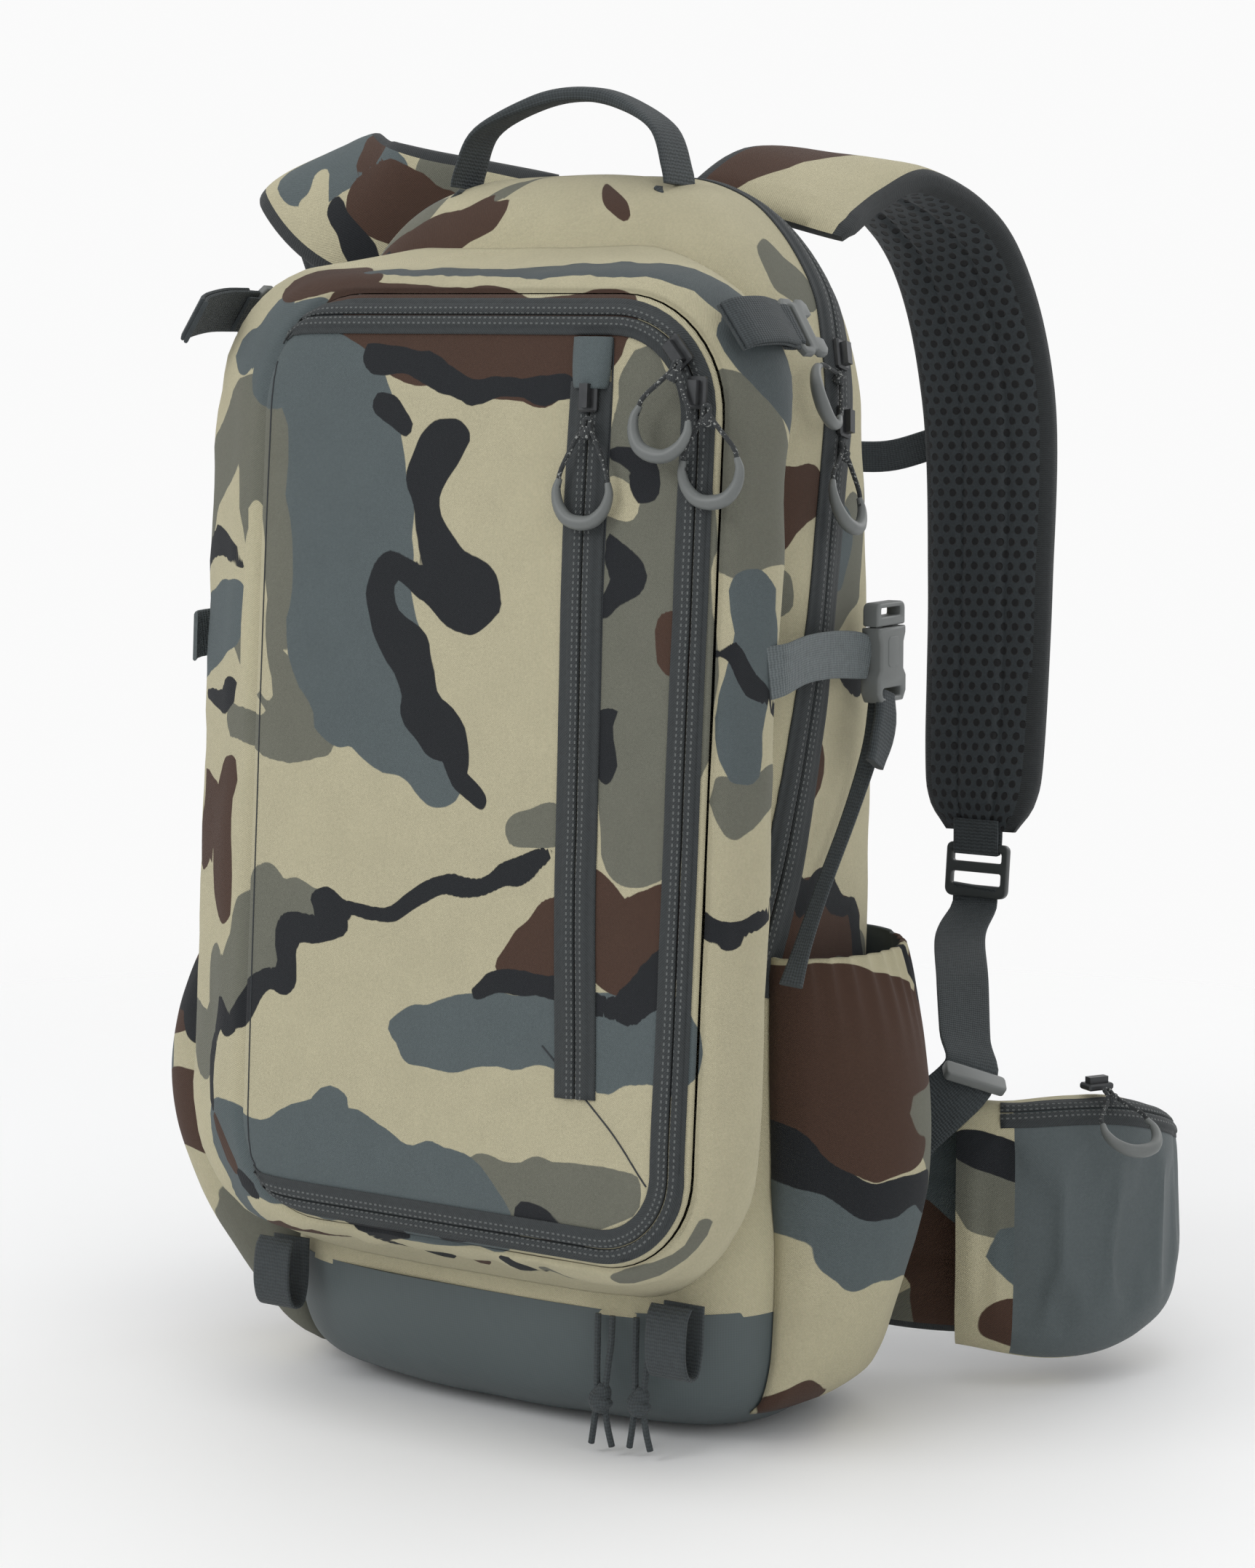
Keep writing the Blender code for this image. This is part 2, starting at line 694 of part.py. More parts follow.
def make_side_pockets():
    """Stretch pockets: patches of the bag's side that swell away from it and are open on top."""
    columns = 15
    for side, sign in SIDES.items():
        front, bulge, forward, deepest = SIDE_POCKETS[side]
        across = np.linspace(front, POCKET_BACK, columns)
        share = np.linspace(0, 1, columns)
        reach = np.sin(np.pi * share ** (math.log(0.5) / math.log(deepest))) ** 0.75
        rows = []
        for rise in np.linspace(0, 1, 9):
            height = POCKET_FOOT + (POCKET_TOP - POCKET_FOOT) * rise
            swell = math.sin(math.pi * (0.08 + 0.72 * rise)) ** 0.8
            swell = max(0.0, (swell - 0.22) / 0.78) * bulge
            wall = bag_side(across, height, POCKET_GAP + CLOTH)
            x = sign * (wall[:, 0] + swell * reach)
            rows.append(np.column_stack([x, wall[:, 1] + forward * swell * reach, np.full(columns, height)]))
        if sign < 0:
            rows = [row[::-1] for row in rows]
        mesh = grid_mesh(f"side_pocket_{side}", rows)
        mesh.shade_smooth()
        thicken(add(f"side_pocket_{side}", mesh, stretch()), CLOTH, -1.0)


# Buckles and straps


def buckle_socket(name, frame, width, thickness):
    length, depth, wall = 0.032, 0.022, 0.0022
    body = box(name, plastic(), (width, length, thickness), frame, 0.0015)
    hollow = (width - 2 * wall, depth * 2, thickness - 2 * wall)
    mouth = box(name + "_mouth", plastic(), hollow, frame @ Matrix.Translation((0, length / 2, 0)))
    return combine(body, mouth, "DIFFERENCE")


def buckle_plug(name, frame, width, thickness):
    """The plug in the socket's frame, with its head just past the mouth."""
    mouth_y, head_length, wall, slack = 0.016, 0.010, 0.0022, 0.0006
    tongue = 0.017
    head = box(
        name,
        plastic(),
        (width, head_length, thickness * 0.8),
        frame @ Matrix.Translation((0, mouth_y + GAP + head_length / 2, 0)),
        0.0012,
    )
    size = (width - 2 * (wall + slack), tongue + 0.004, thickness - 2 * (wall + slack))
    prong = box(
        name + "_prong", plastic(), size, frame @ Matrix.Translation((0, mouth_y - tongue / 2 + 0.002, 0))
    )
    return combine(head, prong, "UNION")


def make_side_straps():
    """Side compression: webbing from the front compartment to a side-release buckle."""
    for side, sign in SIDES.items():
        x = 0.1420
        edge = 0.1475 if side == "right" else 0.1560
        stations = (
            (sign * edge, -0.0850, 0.3360, 0, 0.1, 1, 0.022),
            (sign * 0.1435, -0.0600, 0.3390, 0, 0, 1, 0.020),
            (sign * 0.1400, -0.0330, 0.3400, 0, 0, 1, 0.020),
            (sign * 0.1370, -0.0100, 0.3390, 0, 0, 1, 0.020),
        )
        ribbon(f"side_strap_{side}", webbing(), stations, WEBBING)
        frame = facing((sign * x, 0.0080, 0.3310), (0, sign, 0), (0, 0, 1))
        buckle_socket(f"side_buckle_socket_{side}", frame, 0.024, 0.0095)
        plug = buckle_plug(f"side_buckle_plug_{side}", frame, 0.024, 0.0095)
        hang(f"side_buckle_plug_{side}_axis", (sign * x, 0.0080, 0.3480), plug)


def make_top_straps():
    """Top compression: short webbing over the compartment's corner, ending in a plastic hook."""
    turn = math.radians(35)
    out, up = math.cos(turn), math.sin(turn)
    corner_z = PANEL_TOP - PANEL_CORNER_TOP
    for side, sign in SIDES.items():
        corner_x = 0.0810 if side == "right" else -0.0860
        radii = (0.0675, 0.0680, 0.0640) if side == "right" else (0.0700, 0.0740, 0.0740)
        stations = []
        for radius, y in zip(radii, (-0.0980, -0.0800, -0.0600)):
            place = (corner_x + sign * radius * out, y, corner_z + radius * up)
            stations.append((*place, -sign * up, 0, out, 0.022))
        ribbon(f"top_strap_{side}", webbing(), stations, WEBBING)
        outer = rounded_outline(-0.0135, 0.0135, 0.0, 0.017, 0.003, 0.005, 3, 2)
        slot = rounded_outline(-0.0100, 0.0100, 0.003, 0.0065, 0.001, 0.001, 2, 2)
        notch = rounded_outline(-0.0080, 0.0080, 0.0095, 0.0135, 0.001, 0.001, 2, 2)
        end = Vector(stations[-1][:3]) + Vector((0, 0.0015, 0))
        lean = 0.22 if side == "right" else 0.30
        frame = facing(end, (-sign * up, 0, out), (-lean * sign, 1, -0.05))
        hook = plate(f"top_hook_{side}", plastic(), [outer, slot, notch], 0.0035, frame)
        hang(f"top_hook_{side}_axis", end, hook)


def make_shoulder_straps():
    """The wearer's straps: one hangs straight, the other is folded out to its side."""
    thick, width = 0.013, 0.068
    routes = {
        "right": (
            (0.0510, 0.0640, 0.5240, 0.92, -0.20, -0.32, 0.088),
            (0.0550, 0.0950, 0.5380, 0.93, 0.00, -0.30, 0.078),
            (0.0630, 0.1380, 0.5390, 1, 0.05, -0.12, 0.070),
            (0.0770, 0.1860, 0.5080, 1, 0, 0, width),
            (0.0850, 0.2100, 0.4400, 1, 0.05, 0, width),
            (0.0870, 0.2110, 0.3500, 1, 0, 0, 0.064),
            (0.0900, 0.1990, 0.2320, 1, 0, 0, 0.046),
        ),
        "left": (
            (-0.0700, 0.0670, 0.5040, 0.80, 0.00, 0.50, 0.078),
            (-0.1150, 0.0600, 0.5140, 0.80, 0.10, 0.55, 0.074),
            (-0.1650, 0.0500, 0.5270, 0.84, 0.20, 0.50, 0.070),
            (-0.2000, 0.0660, 0.5440, 0.86, 0.29, 0.42, width),
            (-0.2120, 0.1010, 0.5380, 0.88, 0.30, 0.35, width),
            (-0.2140, 0.1330, 0.4850, 0.90, 0.35, 0.20, width),
            (-0.1980, 0.1560, 0.4050, 0.94, 0.32, 0.10, width),
            (-0.1560, 0.1760, 0.3100, 0.97, 0.20, 0.05, 0.060),
            (-0.1230, 0.1870, 0.2345, 1, 0.05, 0, 0.046),
        ),
    }
    for side, stations in routes.items():
        ribbon(f"shoulder_strap_{side}", mesh_pad(), stations, thick, per_span=3, columns=3)


def make_lower_webbing():
    """Ladder locks at the straps' ends, and the webbing from there to the bag's lower corner."""
    ends = {"right": Vector((0.0900, 0.1975, 0.2260)), "left": Vector((-0.1230, 0.1860, 0.2260))}
    for side, sign in SIDES.items():
        top = ends[side]
        outer = rounded_outline(-0.0165, 0.0165, -0.0260, 0.0, 0.004, 0.003, 3, 2)
        upper = rounded_outline(-0.0130, 0.0130, -0.0090, -0.0040, 0.001, 0.001, 2, 2)
        lower = rounded_outline(-0.0130, 0.0130, -0.0200, -0.0140, 0.001, 0.001, 2, 2)
        frame = facing(top, (1, 0, 0), (0, 0.10, 1))
        lock = plate(f"ladder_lock_{side}", plastic(), [outer, upper, lower], 0.0035, frame)
        hang(f"ladder_lock_{side}_axis", top, lock)
        stations = (
            (top.x, top.y - 0.0035, top.z - 0.0300, 1, 0, 0, 0.024),
            (top.x + sign * 0.006, 0.1680, 0.1860, 0.95, 0.3 * sign, 0, 0.024),
            (sign * 0.1200, 0.1250, 0.1740, 0.6, 0.8 * sign, 0.15, 0.024),
            (sign * 0.1400, 0.0900, 0.1560, 0.7, 0.65 * sign, -0.15 * sign, 0.024),
            (sign * 0.1510, 0.0730, 0.1410, 0.75, 0.5 * sign, -0.45 * sign, 0.026),
            (sign * 0.1260, 0.0610, 0.1130, 0.70, 0.15 * sign, -0.6 * sign, 0.028),
            (sign * 0.1070, 0.0590, 0.0800, 0.60, 0.1 * sign, -0.7 * sign, 0.030),
        )
        ribbon(f"shoulder_webbing_{side}", webbing(), stations, WEBBING, per_span=4)


def make_sternum_strap():
    """The chest strap between the shoulder straps, with its buckle closed."""
    start, end = Vector((0.0520, 0.2215, 0.4160)), Vector((-0.1500, 0.1850, 0.4130))
    run = (end - start).normalized()
    middle = Vector((-0.0200, 0.2130, 0.4080))
    frame = facing(middle, (0, 0, -1), -run)
    buckle_socket("sternum_buckle_socket", frame, 0.020, 0.0085)
    plug = buckle_plug("sternum_buckle_plug", frame, 0.020, 0.0085)
    near = middle - run * 0.0275
    far = middle + run * 0.0168
    up = (0, 0, 1)
    sag = Vector((0, 0, -0.003))
    right, left = (
        [(*place, *up, 0.015) for place in (first, (first + last) / 2 + sag, last)]
        for first, last in ((start, near), (far, end))
    )
    ribbon("sternum_strap_right", webbing(), right, WEBBING)
    ribbon("sternum_strap_left", webbing(), left, WEBBING)
    hang("sternum_buckle_plug_axis", near, plug)


def make_haul_handle():
    foot, across = (0.0540, -0.0180, 0.5395), (0, 1, 0)
    stations = (
        (-foot[0], foot[1], foot[2], *across, 0.024),
        (-0.0460, -0.0165, 0.5575, *across, 0.024),
        (-0.0220, -0.0130, 0.5695, *across, 0.022),
        (0.0, -0.0120, 0.5730, *across, 0.022),
        (0.0220, -0.0130, 0.5695, *across, 0.022),
        (0.0460, -0.0165, 0.5575, *across, 0.024),
        (foot[0], foot[1], foot[2], *across, 0.024),
    )
    ribbon("haul_handle", webbing(), stations, 0.0026, per_span=3)


def make_tool_loops():
    """Webbing loops under the front compartment."""
    for side, sign in SIDES.items():
        path = (
            (-0.0905, 0.0620),
            (-0.0915, 0.0480),
            (-0.0950, 0.0390),
            (-0.1020, 0.0400),
            (-0.1050, 0.0500),
            (-0.1035, 0.0640),
        )
        stations = [(sign * 0.1040, y, z, 1, 0, 0, 0.020) for y, z in path]
        ribbon(f"tool_loop_{side}", webbing(), stations, WEBBING, per_span=3)


def make_hem_cords():
    """Doubled elastic cords under the compartment, each tied in an overhand knot."""
    for name, x, top_y in (("inner", 0.0700, -0.0985), ("outer", 0.0870, -0.0950)):
        knot_mesh = bpy.data.meshes.new(f"hem_cord_{name}")
        shape = bmesh.new()
        bmesh.ops.create_uvsphere(shape, u_segments=12, v_segments=8, radius=0.0062)
        bmesh.ops.scale(shape, vec=(0.9, 0.8, 1.15), verts=shape.verts[:])
        shape.to_mesh(knot_mesh)
        shape.free()
        knot = add(f"hem_cord_{name}", knot_mesh, cord(), Matrix.Translation((x, top_y - 0.0035, 0.0240)))
        for sign in (-1, 1):
            route = (
                (x + sign * 0.0036, top_y, 0.0600),
                (x + sign * 0.0034, top_y - 0.0008, 0.0480),
                (x + sign * 0.0026, top_y - 0.0025, 0.0360),
                (x + sign * 0.0020, top_y - 0.0035, 0.0240),
                (x + sign * 0.0034, top_y - 0.0036, 0.0130),
                (x + sign * 0.0050, top_y - 0.0030, 0.0040),
            )
            strand = as_mesh(tube(f"hem_cord_{name}_strand", cord(), route, 0.0028, 3))
            combine(knot, strand, "UNION")


# Hip belt


def belt_point(sign, angle, radius, height):
    turn = math.radians(angle)
    x = BELT_CENTRE[0] + radius * math.cos(turn)
    return (sign * x, BELT_CENTRE[1] + radius * math.sin(turn), height)


def belt_pocket(side, sign):
    """A zipped pouch on the wing's outside, thick in the middle and thin at its ends."""
    inner = BELT_RADIUS + BELT_PAD / 2 + GAP
    first, last, deepest = -66, 8, 0.031
    rows = []
    for share in np.linspace(0, 1, 13):
        angle = first + (last - first) * share
        depth = 0.006 + (deepest - 0.006) * math.sin(math.pi * min(1, 0.10 + 0.86 * share)) ** 0.6
        middle = 0.073 - 0.004 * share
        half = (0.059 - 0.018 * share**2) * (1 - 0.06 * math.cos(2 * math.pi * share))
        ring = []
        for turn in np.linspace(0, 2 * np.pi, 16, endpoint=False):
            out = 0.5 - 0.5 * np.sign(math.cos(turn)) * abs(math.cos(turn)) ** 0.7
            rise = np.sign(math.sin(turn)) * abs(math.sin(turn)) ** 0.55
            ring.append(belt_point(sign, angle, inner + depth * out, middle + half * rise))
        rows.append(ring)
    name = f"belt_pocket_{side}"
    return add(name, face_outward(grid_mesh(name, rows, round_rows=True, caps=True)), camo())


def make_belt():
    for side, sign in SIDES.items():
        angles = np.linspace(-98, 24, 9)
        stations = []
        for angle in angles:
            taper = max(0.0, (angle + 30) / 54)
            height = (BELT_BOTTOM + BELT_TOP) / 2 - 0.010 * taper
            tall = (BELT_TOP - BELT_BOTTOM) * (1 - 0.45 * taper**2)
            stations.append((*belt_point(sign, angle, BELT_RADIUS, height), 0, 0, 1, tall))
        wing = ribbon(f"belt_wing_{side}", mesh_pad(), stations, BELT_PAD, per_span=2, columns=3)
        pouch = belt_pocket(side, sign)
        stations = [
            (*belt_point(sign, angle, BELT_RADIUS, 0.0520), 0, 0, 1, 0.025) for angle in (29, 40, 52, 64)
        ]
        strap = ribbon(f"belt_webbing_{side}", webbing(), stations, WEBBING, per_span=2)
        turn = math.radians(76)
        place = belt_point(sign, 79 if side == "right" else 71, BELT_RADIUS, 0.0520)
        along = (-sign * math.sin(turn), math.cos(turn), 0)
        frame = facing(place, (0, 0, 1), along)
        if side == "right":
            half = buckle_socket("belt_buckle_socket", frame, 0.030, 0.0100)
        else:
            half = buckle_plug("belt_buckle_plug", frame, 0.030, 0.0100)
        top_radius = BELT_RADIUS + BELT_PAD / 2 + 0.018
        spot = Vector(belt_point(sign, -30, top_radius, 0.1330))
        tangent = Vector((sign * math.sin(math.radians(30)), math.cos(math.radians(30)), 0))
        outward = Vector((sign * math.cos(math.radians(30)), -math.sin(math.radians(30)), 0))
        metal = slider(f"belt_slider_{side}", facing(spot, outward * sign, tangent))
        end = spot + outward * 0.0065 + Vector((0, 0, 0.0015))
        upward = Vector((0, 0, 1)) - outward * 0.85
        hanging = pull(f"belt_pull_{side}", facing(end, tangent * sign, upward), 0.040, 0.026)
        hang(f"belt_pull_{side}_axis", end, hanging)
        hang(f"belt_slider_{side}_axis", (sign * BELT_CENTRE[0], BELT_CENTRE[1], spot.z), metal)
        hang(f"belt_wing_{side}_axis", belt_point(sign, -92, BELT_RADIUS, 0.0700), wing, pouch, strap, half)


make_bag()
make_frame()
make_back_pad()
make_front_pocket_shell()
make_front_panel()
make_panel_zips()
make_main_zips()
make_side_pockets()
make_side_straps()
make_top_straps()
make_shoulder_straps()
make_lower_webbing()
make_sternum_strap()
make_haul_handle()
make_tool_loops()
make_hem_cords()
make_belt()
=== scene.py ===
import json
import math

import bmesh
import bpy
import numpy as np
from mathutils import Matrix, Vector


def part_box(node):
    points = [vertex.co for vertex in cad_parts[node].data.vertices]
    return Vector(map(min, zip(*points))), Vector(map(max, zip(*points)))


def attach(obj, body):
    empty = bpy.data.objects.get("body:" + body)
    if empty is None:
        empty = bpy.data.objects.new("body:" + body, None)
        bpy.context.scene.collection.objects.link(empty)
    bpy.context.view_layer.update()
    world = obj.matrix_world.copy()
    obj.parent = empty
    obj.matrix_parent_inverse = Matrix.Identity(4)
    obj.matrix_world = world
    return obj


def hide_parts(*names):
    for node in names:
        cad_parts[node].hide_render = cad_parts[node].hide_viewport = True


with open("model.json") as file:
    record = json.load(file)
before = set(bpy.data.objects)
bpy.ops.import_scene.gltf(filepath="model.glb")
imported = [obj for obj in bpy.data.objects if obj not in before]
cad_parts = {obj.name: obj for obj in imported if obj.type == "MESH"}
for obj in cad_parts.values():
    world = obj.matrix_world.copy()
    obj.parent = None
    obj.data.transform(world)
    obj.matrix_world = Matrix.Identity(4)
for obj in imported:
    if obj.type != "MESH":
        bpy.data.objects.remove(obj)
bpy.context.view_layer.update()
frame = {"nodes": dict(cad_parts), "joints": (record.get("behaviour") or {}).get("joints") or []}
nodes = frame["nodes"]
sides = {"right": 1.0, "left": -1.0}
joints = {joint["name"]: joint for joint in frame["joints"]}
print("frame loaded,", len(nodes), "nodes")


# Camera and studio

camera = dict(azimuth=33.0, elevation=7.5, distance=1.655, target=(0.012, 0.008, 0.27), lens=85)


def addCamera(spec):
    turn, rise = math.radians(spec["azimuth"]), math.radians(spec["elevation"])
    back = Vector((math.sin(turn) * math.cos(rise), -math.cos(turn) * math.cos(rise), math.sin(rise)))
    data = bpy.data.cameras.new("camera")
    data.lens, data.sensor_height, data.sensor_fit = spec["lens"], 36, "VERTICAL"
    made = bpy.data.objects.new("camera", data)
    made.location = Vector(spec["target"]) + back * spec["distance"]
    made.rotation_euler = (-back).to_track_quat("-Z", "Y").to_euler()
    bpy.context.scene.collection.objects.link(made)
    bpy.context.scene.camera = made


studio = dict(sky=0.74, backdrop=0.22, key=15.0, fill=4.0, rim=7.0, top=8.0, floor=(0.95, 0.953, 0.957),
              fade=(0.55, 1.30))  # the floor melts into the backdrop between these radii


def addLight(name, place, size, power):
    data = bpy.data.lights.new(name, "AREA")
    data.shape, data.size, data.energy = "DISK", size, power
    made = bpy.data.objects.new(name, data)
    made.location = place
    made.rotation_euler = (Vector((0, 0, 0.25)) - Vector(place)).to_track_quat("-Z", "Y").to_euler()
    bpy.context.scene.collection.objects.link(made)


def addStudio(spec):
    world = bpy.data.worlds.new("sky")
    world.use_nodes = True
    # a white sky, brighter on the side behind the object
    skyNodes, links = world.node_tree.nodes, world.node_tree.links
    place, facingBack = skyNodes.new("ShaderNodeTexCoord"), skyNodes.new("ShaderNodeVectorMath")
    facingBack.operation = "DOT_PRODUCT"
    turn = math.radians(camera["azimuth"])
    facingBack.inputs[1].default_value = (-math.sin(turn), math.cos(turn), 0)
    links.new(place.outputs["Generated"], facingBack.inputs[0])
    ramp = skyNodes.new("ShaderNodeMapRange")
    for index, value in enumerate((0.75, 0.95, spec["sky"], spec["sky"] + spec["backdrop"]), 1):
        ramp.inputs[index].default_value = value
    links.new(facingBack.outputs["Value"], ramp.inputs[0])
    links.new(ramp.outputs[0], skyNodes["Background"].inputs["Strength"])
    skyNodes["Background"].inputs["Color"].default_value = (1, 1, 1, 1)
    bpy.context.scene.world = world
    bpy.context.scene.view_settings.view_transform = "Standard"
    addLight("key", (-0.9, -1.9, 1.7), 1.2, spec["key"])
    addLight("fill", (2.2, -0.9, 1.0), 1.6, spec["fill"])
    addLight("rim", (0.6, 2.0, 1.3), 1.4, spec["rim"])
    addLight("top", (0.0, -0.2, 2.4), 1.8, spec["top"])


addCamera(camera)
addStudio(studio)


# Shader maths: a link wraps an output socket, and the operators add Math nodes


class Link:
    def __init__(self, maker, socket):
        self.maker, self.socket = maker, socket

    def math(self, kind, *others, clamp=False):
        values = dict(enumerate((self, *others)))
        return self.maker.node("ShaderNodeMath", dict(operation=kind, use_clamp=clamp), values).out()

    def __add__(self, other):
        return self.math("ADD", other)

    def __sub__(self, other):
        return self.math("SUBTRACT", other)

    def __mul__(self, other):
        return self.math("MULTIPLY", other)

    def __truediv__(self, other):
        return self.math("DIVIDE", other)

    def __rsub__(self, other):
        return self.maker.node("ShaderNodeMath", dict(operation="SUBTRACT"), {0: other, 1: self}).out()

    __radd__, __rmul__ = __add__, __mul__

    def out(self, name=0):
        return Link(self.maker, self.node.outputs[name])

    def step(self, edge, soft):
        # 0 below the edge and 1 above it, over a soft width
        return ((self - edge) / soft + 0.5).math("ADD", 0.0, clamp=True)

    def sin(self):
        return self.math("SINE")

    def abs(self):
        return self.math("ABSOLUTE")


class Finish:
    def __init__(self, name, colour=(0.5, 0.5, 0.5), roughness=0.6, metallic=0.0, sheen=0.0, coat=0.0):
        self.material = bpy.data.materials.new(name)
        self.material.use_nodes = True
        self.tree = self.material.node_tree
        self.shader = self.tree.nodes["Principled BSDF"]
        self.set("Base Color", (*colour, 1))
        self.set("Roughness", roughness)
        self.set("Metallic", metallic)
        self.set("Sheen Weight", sheen)
        self.set("Sheen Roughness", 0.5)
        self.set("Coat Weight", coat)

    def set(self, name, value):
        if isinstance(value, Link):
            self.tree.links.new(value.socket, self.shader.inputs[name])
        else:
            self.shader.inputs[name].default_value = value

    def node(self, kind, settings=None, inputs=None):
        made = self.tree.nodes.new(kind)
        for name, value in (settings or {}).items():
            setattr(made, name, value)
        for name, value in (inputs or {}).items():
            if isinstance(value, Link):
                self.tree.links.new(value.socket, made.inputs[name])
            else:
                made.inputs[name].default_value = value
        wrapped = Link(self, made.outputs[0])
        wrapped.node = made
        return wrapped

    def place(self):
        return self.node("ShaderNodeTexCoord").out("Object")

    def cloth(self):
        # u runs across and v along the piece, in metres
        split = self.node("ShaderNodeSeparateXYZ", inputs={0: self.node("ShaderNodeTexCoord").out("UV")})
        return split.out("X"), split.out("Y")

    def paint(self, name):
        split = self.node("ShaderNodeSeparateXYZ", inputs={0: self.node(
            "ShaderNodeAttribute", dict(attribute_name=name)).out("Vector")})
        return split.out("X"), split.out("Y"), split.out("Z")

    def noise(self, scale, detail=2.0):
        settings = {"Vector": self.place(), "Scale": scale, "Detail": detail}
        return self.node("ShaderNodeTexNoise", inputs=settings).out("Fac")

    def mix(self, share, first, second):
        made = self.node("ShaderNodeMix", dict(data_type="RGBA"), {0: share})
        for index, value in ((6, first), (7, second)):
            if isinstance(value, Link):
                self.tree.links.new(value.socket, made.node.inputs[index])
            else:
                made.node.inputs[index].default_value = (*value, 1)
        return Link(self, made.node.outputs[2])

    def scale(self, colour, factor):
        return self.node("ShaderNodeVectorMath", dict(operation="SCALE"), {0: colour, "Scale": factor}).out()

    def bump(self, height, distance, strength=1.0):
        made = self.node("ShaderNodeBump", inputs={"Height": height, "Distance": distance, "Strength": strength})
        self.set("Normal", made.out("Normal"))


def threadPhases(u, v, pitch):
    # one turn of a wave for each thread across and along
    return u * (2 * math.pi / pitch), v * (2 * math.pi / pitch)


# Woven camouflage. Each colour has a field painted on the mesh, over 0 inside its patches.

camo = dict(
    tan=(0.455, 0.420, 0.285),
    sage=(0.140, 0.142, 0.112),
    slate=(0.086, 0.108, 0.113),
    brown=(0.058, 0.028, 0.017),
    black=(0.0075, 0.0095, 0.0125),
    grey=(0.060, 0.076, 0.080),
    edge=0.0004,
    thread=0.0009,
)


def camoFinish(spec):
    made = Finish("camouflage twill", roughness=0.85, sheen=0.03)
    sage, slate, tan = made.paint("patchesLow")
    brown, black, grey = made.paint("patchesHigh")
    colour = made.mix(sage.step(0, spec["edge"]), spec["tan"], spec["sage"])
    layers = ((slate, "slate"), (tan, "tan"), (brown, "brown"), (black, "black"), (grey, "grey"))
    for field, name in layers:
        colour = made.mix(field.step(0, spec["edge"]), colour, spec[name])
    u, v = made.cloth()
    a, b = threadPhases(u, v, spec["thread"])
    twill = (a + b).sin() * 0.5 + 0.5
    cross = (a - b).sin() * 0.25 + 0.75
    fibres = made.noise(900.0, 3.0)
    mottle = made.noise(60.0, 4.0)
    tone = twill * 0.16 + cross * 0.08 + fibres * 0.30 + mottle * 0.14 + 0.66
    made.set("Base Color", made.scale(colour, tone))
    made.set("Roughness", 0.92 - grey.step(0, spec["edge"]) * 0.22)
    made.bump(twill * cross + fibres * 0.5 + made.noise(140.0, 2.0) * 0.7, 0.00022, 0.9)
    return made.material


def wovenFinish(name, colour, pitch, depth, roughness=0.8, ribs=0.6):
    # plain woven tape: ribs across, threads along
    made = Finish(name, roughness=roughness, sheen=0.05)
    u, v = made.cloth()
    a, b = threadPhases(u, v, pitch)
    rib = (b + (a * 0.5).sin() * 0.6).sin() * 0.5 + 0.5
    thread = (a * 1.7).sin() * 0.5 + 0.5
    weave = rib * ribs + thread * (1 - ribs)
    wear = made.noise(350.0, 3.0)
    tone = weave * 0.55 + wear * 0.5 + 0.42
    made.set("Base Color", made.scale(colour, tone))
    made.bump(weave + wear * 0.4, depth, 1.0)
    return made.material


coated = dict(dark=(0.058, 0.075, 0.078), light=(0.076, 0.096, 0.100), thread=0.0011)


def coatedFinish(spec):
    made = Finish("coated cloth", roughness=0.55, sheen=0.02)
    u, v = made.cloth()
    a, b = threadPhases(u, v, spec["thread"])
    grid = a.sin() * 0.25 + b.sin() * 0.25 + 0.5
    cloud = made.noise(14.0, 4.0)
    colour = made.mix(cloud, spec["dark"], spec["light"])
    made.set("Base Color", made.scale(colour, grid * 0.14 + 0.93))
    made.set("Roughness", 0.50 + cloud * 0.16)
    made.bump(grid * 0.5 + made.noise(240.0, 2.0), 0.00012, 0.7)
    return made.material


stretch = dict(dark=(0.066, 0.083, 0.087), light=(0.082, 0.101, 0.106), thread=0.0010)


def stretchFinish(spec):
    made = Finish("stretch cloth", roughness=0.75, sheen=0.10)
    u, v = made.cloth()
    a, b = threadPhases(u, v, spec["thread"])
    knit = a.sin() * b.sin() * 0.5 + 0.5
    fibres = made.noise(700.0, 3.0)
    colour = made.mix(made.noise(30.0, 3.0), spec["dark"], spec["light"])
    made.set("Base Color", made.scale(colour, knit * 0.12 + fibres * 0.3 + 0.78))
    made.bump(knit * 0.6 + fibres, 0.00015, 0.8)
    return made.material


# hole is a near-black colour for the mesh's holes: painted shade where light does not reach into them
spacerMesh = dict(yarn=(0.030, 0.038, 0.043), shadedHole=(0.0025, 0.003, 0.004), pitch=0.0058)


def meshFinish(spec):
    # a hexagonal net of holes, where three waves 60 degrees apart meet
    made = Finish("spacer mesh", roughness=0.7, sheen=0.06)
    u, v = made.cloth()
    across, along = threadPhases(u, v, spec["pitch"])
    waves = along.math("COSINE")
    for sign in (-1, 1):
        waves = waves + (across * (0.866 * sign) + along * 0.5).math("COSINE")
    # the holes are painted near black, as painted shade inside them
    shadedHole = (waves / 3.0).step(0.22, 0.26)
    fibres = made.noise(1200.0, 2.0)
    colour = made.mix(shadedHole, spec["yarn"], spec["shadedHole"])
    made.set("Base Color", made.scale(colour, fibres * 0.9 + 0.55))
    made.bump((1 - shadedHole) * 1.0 + fibres * 0.12, 0.0012, 1.0)
    return made.material


# slit is a near-black colour down the zip's middle: painted shade in the gap between the tapes
# stitch is a lighter colour for the stitch rows: painted highlight where light catches the stitches
zipLook = dict(tape=(0.026, 0.031, 0.033), highlightedStitch=(0.115, 0.125, 0.125), shadedSlit=(0.004, 0.004, 0.005),
               rows=(0.0021, 0.0044), pitch=0.0026)


